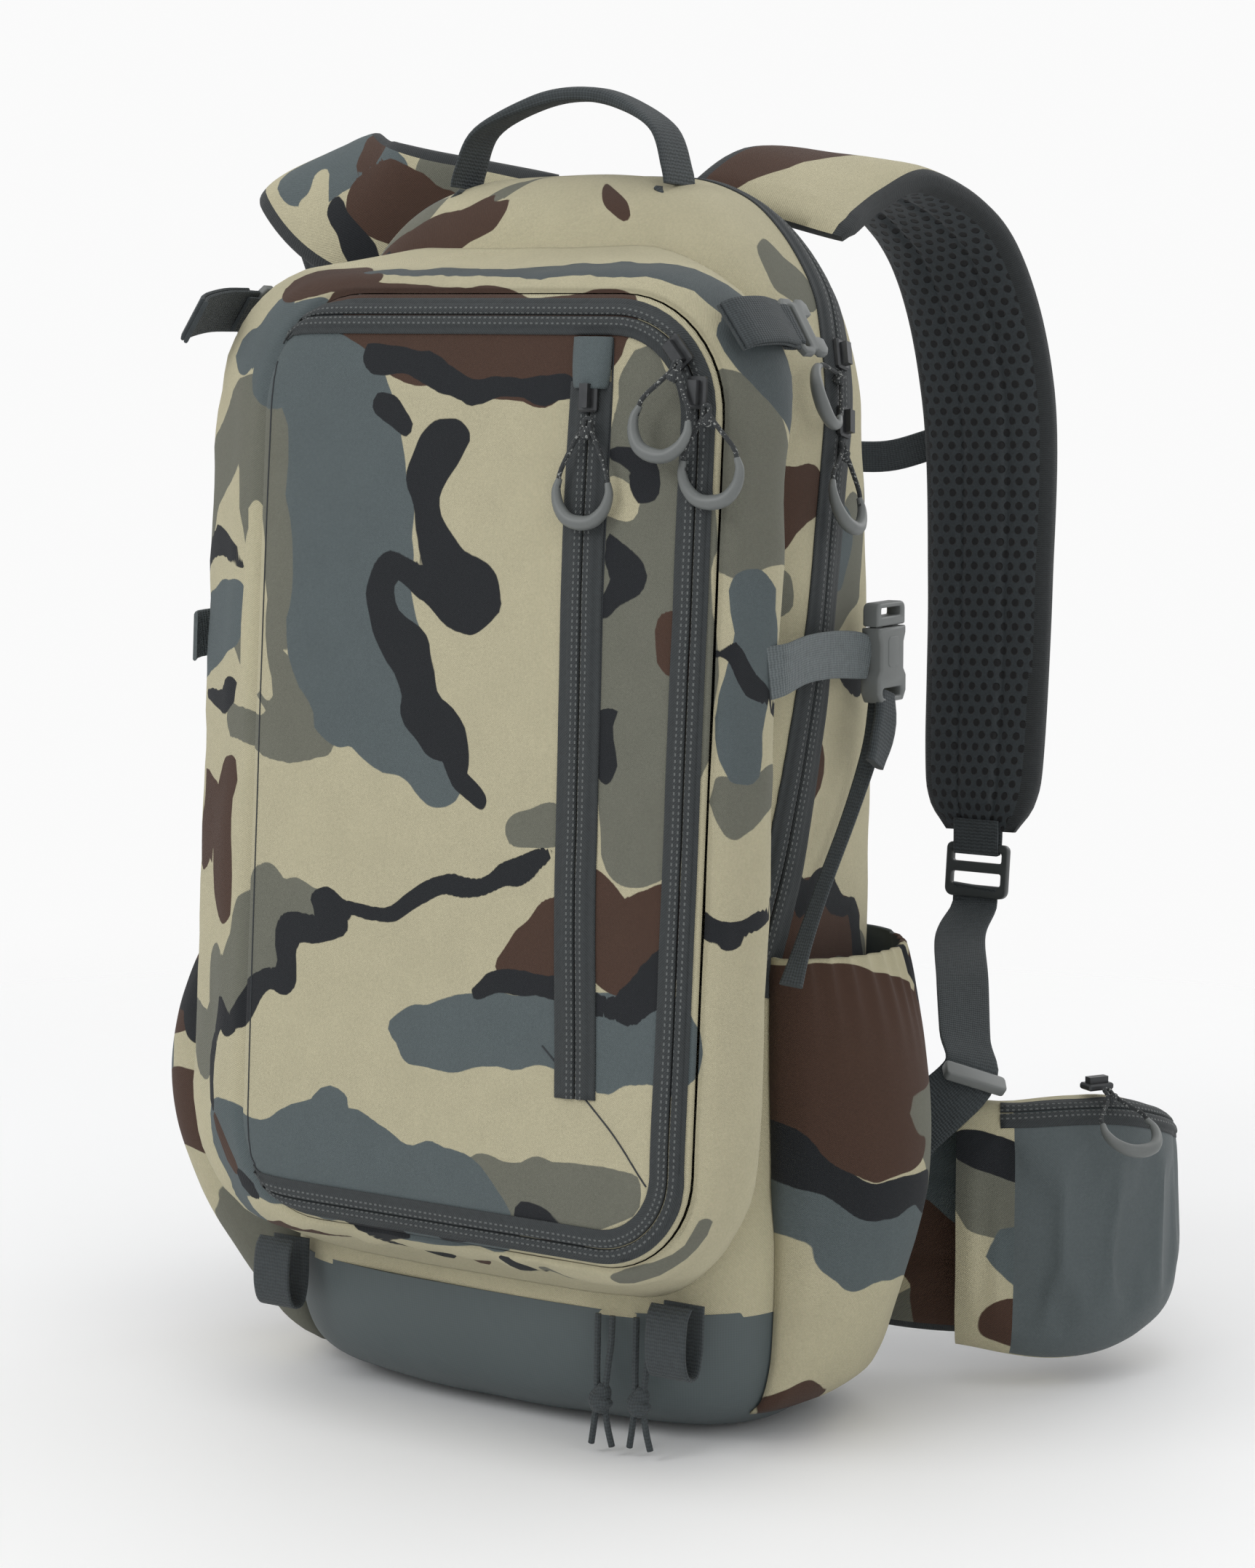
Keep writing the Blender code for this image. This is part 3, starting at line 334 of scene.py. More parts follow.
def zipFinish(spec):
    # u is the distance from the zip's middle, v runs along it
    made = Finish("zip tape", roughness=0.75, sheen=0.04)
    u, v = made.cloth()
    away = u.abs()
    a, b = threadPhases(away, v, 0.0012)
    weave = (a + b).sin() * 0.5 + 0.5
    run = (v * (2 * math.pi / spec["pitch"])).sin()
    highlightedStitch = None
    for row in spec["rows"]:
        here = (0.00042 - (away - row).abs()).step(0, 0.00025) * run.step(-0.1, 0.5)
        highlightedStitch = here if highlightedStitch is None else highlightedStitch.math("MAXIMUM", here)
    # the middle line is painted near black, as painted shade in the gap between the two tapes
    shadedSlit = (0.00045 - away).step(0, 0.0003)
    wear = made.noise(500.0, 3.0)
    colour = made.scale(spec["tape"], weave * 0.5 + wear * 0.6 + 0.45)
    # the stitch rows are painted lighter than the tape, as painted highlight on the stitches
    colour = made.mix(highlightedStitch, colour, spec["highlightedStitch"])
    made.set("Base Color", made.mix(shadedSlit, colour, spec["shadedSlit"]))
    made.bump(weave * 0.4 + highlightedStitch * 1.4 - shadedSlit * 2.0 + wear * 0.2, 0.00030, 1.0)
    return made.material


def plasticFinish(name, colour, roughness=0.42):
    made = Finish(name, roughness=roughness)
    grain = made.noise(900.0, 2.0)
    cloud = made.noise(45.0, 3.0)
    made.set("Base Color", made.scale(colour, cloud * 0.3 + grain * 0.12 + 0.79))
    made.set("Roughness", roughness + grain * 0.14 - 0.05)
    made.bump(grain, 0.00004, 0.6)
    return made.material


def metalFinish():
    made = Finish("slider metal", roughness=0.38, metallic=0.75)
    wear = made.noise(260.0, 4.0)
    made.set("Base Color", made.mix(wear, (0.045, 0.048, 0.052), (0.085, 0.088, 0.09)))
    made.set("Roughness", 0.30 + wear * 0.25)
    return made.material


cordLook = dict(colour=(0.03, 0.034, 0.036), fleck=(0.30, 0.31, 0.30), thread=0.0012)


def cordFinish(spec):
    # braided cord with pale flecks
    made = Finish("braided cord", roughness=0.8, sheen=0.05)
    u, v = made.cloth()
    a, b = threadPhases(u, v, spec["thread"])
    braid = (a + b).sin() * (a - b).sin() * 0.5 + 0.5
    fleck = made.noise(900.0, 1.0).step(0.64, 0.05)
    made.set("Base Color", made.mix(fleck, made.scale(spec["colour"], braid * 0.8 + 0.6), spec["fleck"]))
    made.bump(braid, 0.00025, 1.0)
    return made.material


def threadFinish(name, colour):
    made = Finish(name, roughness=0.7)
    fibres = made.noise(1500.0, 2.0)
    made.set("Base Color", made.scale(colour, fibres * 0.6 + 0.7))
    made.bump(fibres, 0.0001, 0.6)
    return made.material


def floorFinish(spec):
    # opaque round the object, then fading out into the backdrop
    made = Finish("floor", spec["floor"], 0.6)
    away = made.node("ShaderNodeVectorMath", dict(operation="LENGTH"), {0: made.place()}).out("Value")
    near, far = spec["fade"]
    made.set("Alpha", made.node("ShaderNodeMapRange", dict(interpolation_type="SMOOTHSTEP"), {
        "Value": away, "From Min": near, "From Max": far, "To Min": 1.0, "To Max": 0.0}))
    return made.material


finishes = dict(
    camo=camoFinish(camo),
    coated=coatedFinish(coated),
    stretch=stretchFinish(stretch),
    mesh=meshFinish(spacerMesh),
    webbing=wovenFinish("webbing", (0.040, 0.049, 0.053), 0.0016, 0.0004),
    paleWebbing=wovenFinish("grey webbing", (0.115, 0.135, 0.140), 0.0016, 0.0004),
    binding=wovenFinish("binding tape", (0.022, 0.026, 0.028), 0.0010, 0.0002, ribs=0.8),
    zip=zipFinish(zipLook),
    plastic=plasticFinish("grey plastic", (0.135, 0.145, 0.142)),
    darkPlastic=plasticFinish("dark plastic", (0.050, 0.056, 0.056), 0.36),
    framePlastic=plasticFinish("frame plastic", (0.03, 0.03, 0.03), 0.5),
    metal=metalFinish(),
    alloy=Finish("frame alloy", (0.62, 0.63, 0.65), 0.34, 1.0).material,
    cord=cordFinish(cordLook),
    thread=threadFinish("dark stitching", (0.02, 0.024, 0.028)),
    floor=floorFinish(studio),
)
print("finishes ready")


# Surfaces


def smoothPath(stations, perSpan):
    # Catmull-Rom through the stations, any number of columns, ends carried on in a straight line
    known = np.asarray(stations, float)
    known = np.vstack([2 * known[:1] - known[1:2], known, 2 * known[-1:] - known[-2:-1]])
    share = (np.arange(perSpan) / perSpan).reshape(1, -1, *([1] * (known.ndim - 1)))
    before, start, end, after = (known[i:len(known) - 3 + i][:, None] for i in range(4))
    curve = start + 0.5 * (end - before) * share + (before - 2.5 * start + 2 * end - 0.5 * after) * share**2
    curve = curve + (1.5 * (start - end) + 0.5 * (after - before)) * share**3
    return np.concatenate([curve.reshape(-1, *known.shape[1:]), known[-2:-1]])


def evenly(path, step):
    # points spaced evenly along a path, by its first three columns
    run = arcLength(path[:, :3])
    count = max(3, int(round(run[-1] / step)) + 1)
    places = np.linspace(0, run[-1], count)
    return np.stack([np.interp(places, run, column) for column in path.T], axis=1)


def arcLength(path):
    return np.concatenate([[0], np.cumsum(np.linalg.norm(np.diff(path, axis=0), axis=1))])


def unit(vectors):
    return vectors / np.maximum(np.linalg.norm(vectors, axis=-1, keepdims=True), 1e-12)


def directions(path, across):
    # along, across and outward directions at each point: outward is across x along
    along = unit(np.gradient(path, axis=0))
    across = np.broadcast_to(across, path.shape)
    across = unit(across - (across * along).sum(1, keepdims=True) * along)
    return along, across, np.cross(across, along)


def carry(path, across, profile):
    # a profile of (across, outward) offsets carried along a path
    _, side, out = directions(path, across)
    profile = np.broadcast_to(profile, (len(path), *np.shape(profile)[-2:]))
    return path[:, None] + side[:, None] * profile[..., :1] + out[:, None] * profile[..., 1:]


def tubeGrid(path, radius, count):
    # a round tube with count sides: the across direction is carried along without twisting
    along = unit(np.gradient(path, axis=0))
    side = np.empty_like(path)
    side[0] = unit(np.cross(along[0], (0.31, 0.17, 0.94)))
    for index in range(1, len(path)):
        here = side[index - 1] - along[index] * (side[index - 1] @ along[index])
        side[index] = here / np.linalg.norm(here)
    turn = np.linspace(0, 2 * np.pi, count, endpoint=False)
    radius = np.broadcast_to(radius, len(path))[:, None, None]
    ring = np.stack([np.cos(turn), np.sin(turn)], axis=1)[None] * radius
    up = np.cross(side, along)
    return path[:, None] + side[:, None] * ring[..., :1] + up[:, None] * ring[..., 1:]


def latticeNoise(points, size, seed):
    # value noise from -1 to 1: random numbers at the corners of cubes, blended smoothly
    q = np.asarray(points, float) / size + 91.7
    cell = np.floor(q).astype(np.int64)
    share = q - cell
    share = share**3 * (share * (share * 6 - 15) + 10)
    total = np.zeros(q.shape[:-1])
    for corner in np.ndindex(*(2,) * q.shape[-1]):
        place = cell + corner
        key = (place * (73856093, 19349663, 83492791)[:q.shape[-1]]).sum(-1) + seed * 2654435
        key = (key ^ (key >> 13)) * 1274126177 & 0xFFFFFFFF
        value = ((key ^ (key >> 16)) & 0xFFFF) / 32767.5 - 1
        total = total + value * np.prod(np.where(corner, share, 1 - share), axis=-1)
    return total


patchNames = ("sage", "slate", "tan", "brown", "black", "grey")


def paintPatches(places, strokes, seed, wobble=0.0045):
    # a field for each colour: radius minus distance to a stroke's middle line, on wobbling places
    places = np.asarray(places, float)
    shift = np.stack([latticeNoise(places, 0.030, seed + i) for i in (0, 1)], -1) * wobble
    shift += np.stack([latticeNoise(places, 0.011, seed + i) for i in (5, 6)], -1) * wobble * 0.45
    places = (places + shift).reshape(-1, 2)
    fields = np.full((len(places), len(patchNames)), -1.0)
    for name, *discs in strokes:
        line = smoothPath(discs, 6) if len(discs) > 1 else np.asarray(discs, float)
        low, high = line[:, :2].min(0) - 0.04, line[:, :2].max(0) + 0.04
        near = ((places > low) & (places < high)).all(1)
        gap = line[None, :, 2] - np.linalg.norm(places[near][:, None] - line[None, :, :2], axis=2)
        column = patchNames.index(name)
        fields[near, column] = np.maximum(fields[near, column], gap.max(1))
    return fields


# colour, strokes in a square of 100 mm, radius, and discs in a stroke
scatter = (("sage", 2.6, 0.019, 4), ("slate", 2.2, 0.018, 4), ("tan", 0.7, 0.010, 3), ("brown", 1.9, 0.016, 4),
           ("black", 2.6, 0.0062, 7))


def scatterStrokes(seed, low, high, share=1.0):
    # wandering strokes of every colour over a rectangle, for panels seen only from the sides and back
    random = np.random.default_rng(seed)
    size = np.subtract(high, low)
    area = size[0] * size[1] / 0.01  # in squares of 100 mm
    strokes = []
    for name, density, radius, steps in scatter:
        for _ in range(max(1, int(round(density * area * share)))):
            place = np.asarray(low) + random.random(2) * size
            heading = random.normal(0.2, 0.9)
            discs = []
            for _ in range(steps):
                discs.append((*place, radius * random.uniform(0.55, 1.3)))
                heading += random.normal(0, 0.8)
                place = place + radius * 1.5 * np.array([math.cos(heading), math.sin(heading)])
            strokes.append((name, *discs))
    return strokes


def gridPart(grid, closeU=False, closeV=False, caps=False, material=0, uv=None, paint=None, flip=False):
    # quads between the rows (u, along) and columns (v, across) of a grid of points
    grid = np.asarray(grid, float)
    rows, columns = grid.shape[:2]
    index = np.arange(rows * columns).reshape(rows, columns)
    index = np.vstack([index, index[:1]]) if closeU else index
    index = np.hstack([index, index[:, :1]]) if closeV else index
    faces = np.stack([index[:-1, :-1], index[:-1, 1:], index[1:, 1:], index[1:, :-1]], -1).reshape(-1, 4)
    if uv is None:
        wide = np.concatenate([grid, grid[:, :1]], 1) if closeV else grid
        tall = np.concatenate([grid, grid[:1]], 0) if closeU else grid
        u = np.concatenate([[0], np.cumsum(np.linalg.norm(np.diff(wide, axis=1), axis=2).mean(0))])
        v = np.concatenate([[0], np.cumsum(np.linalg.norm(np.diff(tall, axis=0), axis=2).mean(1))])
        uv = np.stack(np.meshgrid(u - u[-1] / 2, v), -1)
    corner = np.arange(uv.shape[0] * uv.shape[1]).reshape(uv.shape[:2])
    corners = np.stack([corner[:-1, :-1], corner[:-1, 1:], corner[1:, 1:], corner[1:, :-1]], -1).reshape(-1, 4)
    uv = uv.reshape(-1, 2)[corners]
    if flip:
        faces, uv = faces[:, ::-1], uv[:, ::-1]
    part = dict(points=grid.reshape(-1, 3), quads=faces, uv=uv, material=material, paint=paint, ends=[])
    if caps:
        ends = [index[0, :columns][::-1], index[-1, :columns]]
        part["ends"] = [end[::-1] for end in ends] if flip else ends
    return part


def turnedOver(part, place, flip):
    # the part moved by place, with its faces turned round when that mirrors it
    part["points"] = place(part["points"])
    if flip:
        part["quads"], part["uv"] = part["quads"][:, ::-1], part["uv"][:, ::-1]
        part["ends"] = [end[::-1] for end in part["ends"]]
    return part


def meshPart(mesh, matrix):
    # points and faces of a mesh made by a modelling tool
    points = np.empty(len(mesh.vertices) * 3)
    mesh.vertices.foreach_get("co", points)
    turn = np.array(matrix)
    points = points.reshape(-1, 3) @ turn[:3, :3].T + turn[:3, 3]
    ends = [np.array(face.vertices) for face in mesh.polygons]
    return dict(points=points, quads=np.empty((0, 4), int), uv=np.empty((0, 4, 2)), material=0, paint=None, ends=ends)


def makePiece(name, parts, body, looks, replaces=(), smoothAngle=50, wall=0.0, wallLook=None):
    # one object from one or more parts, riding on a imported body
    parts = parts if isinstance(parts, list) else [parts]
    points, faces, uv, looksOf, paint, offset = [], [], [], [], [], 0
    for part in parts:
        points.append(part["points"])
        faces += (part["quads"] + offset).tolist() + [(end + offset).tolist() for end in part["ends"]]
        uv.append(part["uv"].reshape(-1, 2))
        uv.append(np.zeros((sum(len(end) for end in part["ends"]), 2)))
        quadLooks = np.broadcast_to(part["material"], len(part["quads"]))
        endLook = int(quadLooks[0]) if len(quadLooks) else 0
        looksOf.append(np.concatenate([quadLooks, np.full(len(part["ends"]), endLook)]))
        empty = np.full((len(part["points"]), len(patchNames)), -1.0)
        paint.append(empty if part["paint"] is None else part["paint"].reshape(-1, len(patchNames)))
        offset += len(part["points"])
    mesh = bpy.data.meshes.new(name)
    mesh.from_pydata(np.vstack(points).tolist(), [], faces)
    layer = mesh.uv_layers.new(name="cloth")
    layer.data.foreach_set("uv", np.vstack(uv).astype(np.float32).ravel())
    mesh.polygons.foreach_set("material_index", np.concatenate(looksOf).astype(np.int32))
    if any(part["paint"] is not None for part in parts):
        fields = np.vstack(paint).astype(np.float32)
        for label, three in (("patchesLow", fields[:, :3]), ("patchesHigh", fields[:, 3:])):
            layer = mesh.attributes.new(label, "FLOAT_VECTOR", "POINT")
            layer.data.foreach_set("vector", np.ascontiguousarray(three).ravel())
    made = bpy.data.objects.new(name, mesh)
    bpy.context.scene.collection.objects.link(made)
    for look in looks:
        mesh.materials.append(finishes[look])
    mesh.shade_smooth()
    mesh.set_sharp_from_angle(angle=math.radians(smoothAngle))
    if wall:
        solid = made.modifiers.new("wall", "SOLIDIFY")
        solid.thickness, solid.offset, solid.use_rim = wall, -1.0, True
        if wallLook is not None:
            mesh.materials.append(finishes[wallLook])
            solid.material_offset = len(looks)
    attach(made, body)
    if replaces:
        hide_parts(*replaces)
    return made


def layOn(grid, target, gap):
    # moves a sheet's points onto another piece's surface, a small gap above it
    grid = np.asarray(grid, float)
    mesh = bpy.data.meshes.new("laid")
    mesh.from_pydata(grid.reshape(-1, 3).tolist(), [], [])
    made = bpy.data.objects.new("laid", mesh)
    bpy.context.scene.collection.objects.link(made)
    press = made.modifiers.new("press", "SHRINKWRAP")
    press.target, press.offset = target, gap
    press.wrap_method, press.wrap_mode = "NEAREST_SURFACEPOINT", "ABOVE_SURFACE"
    pressed = made.evaluated_get(bpy.context.evaluated_depsgraph_get()).to_mesh()
    points = np.empty(len(pressed.vertices) * 3)
    pressed.vertices.foreach_get("co", points)
    bpy.data.objects.remove(made)
    return points.reshape(grid.shape)


def raised(grid, height):
    # moves each point of a sheet out along its own normal
    normal = unit(np.cross(np.gradient(grid, axis=1), np.gradient(grid, axis=0)))
    return grid + normal * height[..., None]


def arc(centre, radius, start, end, count):
    turn = np.radians(np.linspace(start, end, count))
    return np.stack([centre[0] + radius * np.cos(turn), centre[1] + radius * np.sin(turn)], 1)


def roundedOutline(left, right, bottom, top, lowRadius, highRadius, turns=13, runs=36):
    # a rectangle with round corners, anticlockwise from the bottom right, always the same points
    corners = (arc((right - lowRadius, bottom + lowRadius), lowRadius, -90, 0, turns),
               arc((right - highRadius, top - highRadius), highRadius, 0, 90, turns),
               arc((left + highRadius, top - highRadius), highRadius, 90, 180, turns),
               arc((left + lowRadius, bottom + lowRadius), lowRadius, 180, 270, turns))
    points = []
    for here, following in zip(corners, corners[1:] + corners[:1]):
        share = np.linspace(0, 1, runs + 1)[1:-1, None]
        points += [here, here[-1] + (following[0] - here[-1]) * share]
    return np.vstack(points)


def platePart(outlines, thickness, matrix, edge):
    # a flat moulded piece with rounded edges, from its outline and its holes
    curve = bpy.data.curves.new("outline", "CURVE")
    curve.dimensions, curve.fill_mode = "2D", "BOTH"
    curve.extrude, curve.bevel_depth, curve.bevel_resolution = thickness / 2 - edge, edge, 2
    curve.offset = -edge
    for outline in outlines:
        spline = curve.splines.new("POLY")
        spline.points.add(len(outline) - 1)
        flat = np.column_stack([outline, np.zeros(len(outline)), np.ones(len(outline))])
        spline.points.foreach_set("co", flat.ravel())
        spline.use_cyclic_u = True
    made = bpy.data.objects.new("outline", curve)
    bpy.context.scene.collection.objects.link(made)
    mesh = bpy.data.meshes.new_from_object(made.evaluated_get(bpy.context.evaluated_depsgraph_get()))
    bpy.data.objects.remove(made)
    shape = bmesh.new()
    shape.from_mesh(mesh)
    bmesh.ops.remove_doubles(shape, verts=shape.verts[:], dist=1e-6)
    bmesh.ops.recalc_face_normals(shape, faces=shape.faces[:])
    shape.to_mesh(mesh)
    shape.free()
    return meshPart(mesh, matrix)


def facing(place, across, along):
    # X runs across, Y along, Z outwards
    along = Vector(along).normalized()
    out = Vector(across).cross(along).normalized()
    turn = Matrix((along.cross(out), along, out)).transposed().to_4x4()
    return Matrix.Translation(place) @ turn


# The bag: superellipse sections (height, half width, front, back)

bag = dict(
    sections=((0.000, 0.097, -0.052, 0.040), (0.004, 0.110, -0.067, 0.048), (0.015, 0.121, -0.084, 0.055),
              (0.032, 0.125, -0.093, 0.057), (0.055, 0.126, -0.097, 0.058), (0.085, 0.127, -0.094, 0.060),
              (0.120, 0.128, -0.084, 0.061), (0.210, 0.129, -0.080, 0.062), (0.300, 0.129, -0.078, 0.062),
              (0.380, 0.127, -0.073, 0.062), (0.430, 0.124, -0.070, 0.060), (0.465, 0.117, -0.064, 0.058),
              (0.490, 0.108, -0.058, 0.054), (0.512, 0.092, -0.050, 0.047), (0.527, 0.074, -0.040, 0.038),
              (0.536, 0.050, -0.026, 0.027), (0.5385, 0.024, -0.010, 0.014), (0.5390, 0.004, 0.001, 0.006)),
    squareness=3.3,
    baseTop=0.060,
    hemOverlap=0.004,
    rowStep=0.006,
    ripple=0.0011,
    baseRipple=0.0007,
)
bagTable = smoothPath(bag["sections"], 8)
bagTable = bagTable[np.concatenate([[True], np.diff(bagTable[:, 0]) > 0])]


def bagSection(height):
    halfWidth, front, back = (np.interp(height, bagTable[:, 0], bagTable[:, i]) for i in (1, 2, 3))
    return halfWidth, (front + back) / 2, (back - front) / 2


def bagRing(height, count=256):
    # |x / half width|^n + |y / half depth|^n = 1, evenly spaced from the front's middle towards +X
    halfWidth, middle, halfDepth = bagSection(height)
    turn = np.linspace(-0.5 * np.pi, 1.5 * np.pi, 2401)
    power = 2 / bag["squareness"]
    x = halfWidth * np.sign(np.cos(turn)) * np.abs(np.cos(turn)) ** power
    y = middle + halfDepth * np.sign(np.sin(turn)) * np.abs(np.sin(turn)) ** power
    ring = evenly(np.column_stack([x, y, np.full(len(x), height)]), arcLength(np.column_stack([x, y]))[-1] / count)
    return ring[:count]


def bagSide(y, height, clear=0.0):
    # point of the bag's right wall where it passes y
    halfWidth, middle, halfDepth = bagSection(height)
    share = np.clip((y - middle) / halfDepth, -0.999, 0.999)
    n = bag["squareness"]
    x = halfWidth * (1 - np.abs(share) ** n) ** (1 / n)
    slope = np.sign(share) * np.abs(share) ** (n - 1) / halfDepth
    normal = np.stack([(x / halfWidth) ** (n - 1) / halfWidth, slope], -1)
    return np.stack([x, y + 0 * x], -1) + unit(normal) * clear


def bagFront(x, height, clear=0.0):
    # y of the bag's front wall at x
    halfWidth, middle, halfDepth = bagSection(height)
    share = np.minimum(np.abs(x) / (halfWidth + clear), 0.985)
    return middle - (halfDepth + clear) * (1 - share ** bag["squareness"]) ** (1 / bag["squareness"])


def rippled(grid, amount, seed, size=0.055):
    # slow swells and small puckers of cloth over a frame
    swell = latticeNoise(grid, size, seed) + 0.35 * latticeNoise(grid, size * 0.4, seed + 9)
    return raised(grid, swell * amount - amount * 0.8)


def bagRows(heights):
    return np.stack([bagRing(height) for height in heights])


rightSide = (
    ("brown", (-0.085, 0.395, 0.016), (-0.055, 0.400, 0.019), (-0.025, 0.402, 0.013)),
    ("brown", (-0.030, 0.300, 0.009), (-0.025, 0.288, 0.012), (-0.038, 0.273, 0.011)),
    ("brown", (-0.055, 0.225, 0.020), (-0.020, 0.222, 0.016), (0.010, 0.214, 0.012)),
    ("slate", (-0.095, 0.360, 0.014), (-0.080, 0.345, 0.014), (-0.075, 0.325, 0.012)),
    ("sage", (-0.085, 0.375, 0.012), (-0.060, 0.370, 0.014), (-0.045, 0.365, 0.010)),
    ("sage", (-0.010, 0.352, 0.010), (0.005, 0.368, 0.015), (0.015, 0.385, 0.016)),
    ("slate", (0.000, 0.385, 0.010), (-0.008, 0.372, 0.009)),
    ("sage", (0.000, 0.205, 0.012), (0.020, 0.200, 0.014)),
    ("black", (-0.050, 0.254, 0.006), (-0.040, 0.246, 0.006), (-0.028, 0.232, 0.006), (-0.012, 0.238, 0.005),
     (0.000, 0.225, 0.006), (0.012, 0.222, 0.005), (0.020, 0.205, 0.006), (0.028, 0.190, 0.005)),
    ("sage", (-0.020, 0.500, 0.012), (-0.005, 0.490, 0.010)),
    ("black", (0.000, 0.330, 0.004), (0.012, 0.318, 0.005), (0.020, 0.322, 0.004)),
)
topFront = (
    ("brown", (-0.098, 0.492, 0.014), (-0.070, 0.504, 0.016), (-0.045, 0.514, 0.014), (-0.020, 0.520, 0.007)),
    ("sage", (-0.040, 0.528, 0.006), (-0.030, 0.533, 0.006)),
    ("tan", (-0.040, 0.521, 0.004), (-0.028, 0.525, 0.004)),
    ("brown", (0.060, 0.530, 0.007), (0.072, 0.524, 0.006)),
    ("black", (-0.120, 0.480, 0.006), (-0.108, 0.494, 0.004), (-0.096, 0.500, 0.004)),
)


def makeBag():
    # patches are placed by distance round the bag from the front's middle, and by height
    ring = bagRing(0.30)
    lengths = arcLength(ring)
    around = lengths[-1] + np.linalg.norm(ring[0] - ring[-1])
    sideStart = np.interp(0.0, ring[:80, 1], lengths[:80])
    strokes = tuple((name, *[(x + sideStart, z, radius) for x, z, radius in discs]) for name, *discs in rightSide)
    strokes += topFront + tuple(scatterStrokes(11, (-0.36, 0.06), (-0.12, 0.50)))
    strokes += tuple(scatterStrokes(12, (0.26, 0.06), (0.36, 0.45)))
    strokes += (("grey", (0.300, 0.475, 0.022), (0.340, 0.480, 0.030), (0.380, 0.480, 0.030)),
                ("grey", (-0.300, 0.475, 0.022), (-0.340, 0.480, 0.030), (-0.380, 0.480, 0.030)))
    heights = bagTable[:, 0][bagTable[:, 0] > bag["baseTop"] - bag["hemOverlap"]]
    heights = np.sort(np.concatenate([heights, np.arange(0.07, 0.48, bag["rowStep"])]))
    grid = bagRows(heights)
    u = np.concatenate([[0], np.cumsum(np.linalg.norm(np.diff(grid, axis=1), axis=2).max(0))])
    u = np.where(u < around / 2, u, u - around)
    places = np.stack(np.broadcast_arrays(u[None], grid[..., 2]), -1)
    grid = rippled(grid, bag["ripple"], 21)
    made = makePiece("bagBody", gridPart(grid, closeV=True, caps=True, paint=paintPatches(places, strokes, 31)),
                     "pack", ["camo"],
                     ("back_panel", "side_panel_right", "side_panel_left", "body_front_panel"))
    heights = np.sort(np.concatenate([bagTable[:, 0][bagTable[:, 0] < bag["baseTop"]], [bag["baseTop"]]]))
    grid = rippled(bagRows(heights), bag["baseRipple"], 22, 0.04)
    grid[:3, :, 2] = np.maximum(grid[:3, :, 2], 0)  # no ripple reaches below the ground
    lip = grid[-1:] + np.array([0, 0, 0.0006])  # the wall turns in under the body's hem
    makePiece("basePanel", gridPart(np.concatenate([grid, lip]), closeV=True, caps=True), "pack",
              ["coated"], ("base_panel",))
    return made


body = makeBag()
print("bag made")


# Zips

# half a tape's section, from its edge to the slit: shares of the half width, and heights
zipShape = dict(
    offsets=(1.0, 0.86, 0.66, 0.60, 0.50, 0.36, 0.22, 0.10, 0.055, 0.03, 0.0),
    heights=(0.0005, 0.0006, 0.0006, 0.0011, 0.0014, 0.0015, 0.0015, 0.0013, 0.0009, -0.0001, -0.0004),
)


def makeZip(name, path, across, width, target, rideOn, replaces=()):
    # a tape laid on the target piece. across is a direction, or a function of the path that gives one a point.
    path = evenly(smoothPath(path, 8) if len(path) < 30 else path, 0.003)
    offsets = np.array(zipShape["offsets"]) * width / 2
    offsets = np.concatenate([-offsets, offsets[::-1][1:]])
    heights = np.array(zipShape["heights"])
    heights = np.concatenate([heights, heights[::-1][1:]])
    flat = carry(path, across(path) if callable(across) else across, np.stack([offsets, 0 * offsets], 1))
    flat = layOn(flat, target, 0.0002)
    return makePiece(name, gridPart(raised(flat, np.broadcast_to(heights, flat.shape[:2]))), rideOn,
                     ["zip"], replaces, wall=0.0007)


mainZip = dict(y=0.005, z=0.45, lean=0.25, end=0.196, width=0.0225)


def mainZipPath(spec):
    heights = np.linspace(spec["end"], 0.531, 60)
    y = spec["y"] + spec["lean"] * (heights - spec["z"])
    right = np.column_stack([bagSide(y, heights), heights])
    y = spec["y"] + spec["lean"] * (0.5385 - spec["z"])
    over = [(x, y, 0.5372 - abs(x) * 0.02) for x in (0.040, 0.020, 0.0, -0.020, -0.040)]
    return np.vstack([right, over, right[::-1] * (-1, 1, 1)])


makeZip("mainZip", mainZipPath(mainZip), (0, 1, -mainZip["lean"]), mainZip["width"], body, "pack", ("main_zipper",))


# The front compartment: gusset and hinged panel

panel = dict(
    left=-0.100, right=0.131, bottom=0.091, top=0.487, cornerTop=0.050, cornerBottom=0.042,
    rimY=-0.131, lean=0.073, crown=0.0060, wall=0.003, zipInset=0.008, zipWidth=0.0165,
    pocketZip=((0.0715, 0.452), (0.0710, 0.400), (0.0718, 0.340), (0.0730, 0.280), (0.0745, 0.220),
               (0.0775, 0.160)),
    pocketZipWidth=0.0200, seamRadius=0.00042,
    tab=dict(x=0.0715, width=0.0190, bottom=0.4490, top=0.4700, height=0.0042),
    seams=(((0.0600, 0.1800), (0.0760, 0.1660), (0.0960, 0.1480), (0.1130, 0.1280)),
           ((0.0820, 0.1600), (0.0825, 0.2600), (0.0815, 0.3600), (0.0810, 0.4600), (0.0780, 0.4700)),
           ((-0.0955, 0.1050), (-0.0965, 0.2000), (-0.0965, 0.3500), (-0.0955, 0.4600))),
)


def panelFace(height):
    # y of the leaning plane that the front panel's rim lies in
    return panel["rimY"] + panel["lean"] * (height - panel["bottom"])


def panelOutline(grow, leftGrow=0.0):
    return roundedOutline(panel["left"] - grow - leftGrow, panel["right"] + grow, panel["bottom"] - grow,
                          panel["top"] + grow, panel["cornerBottom"] + grow, panel["cornerTop"] + grow)


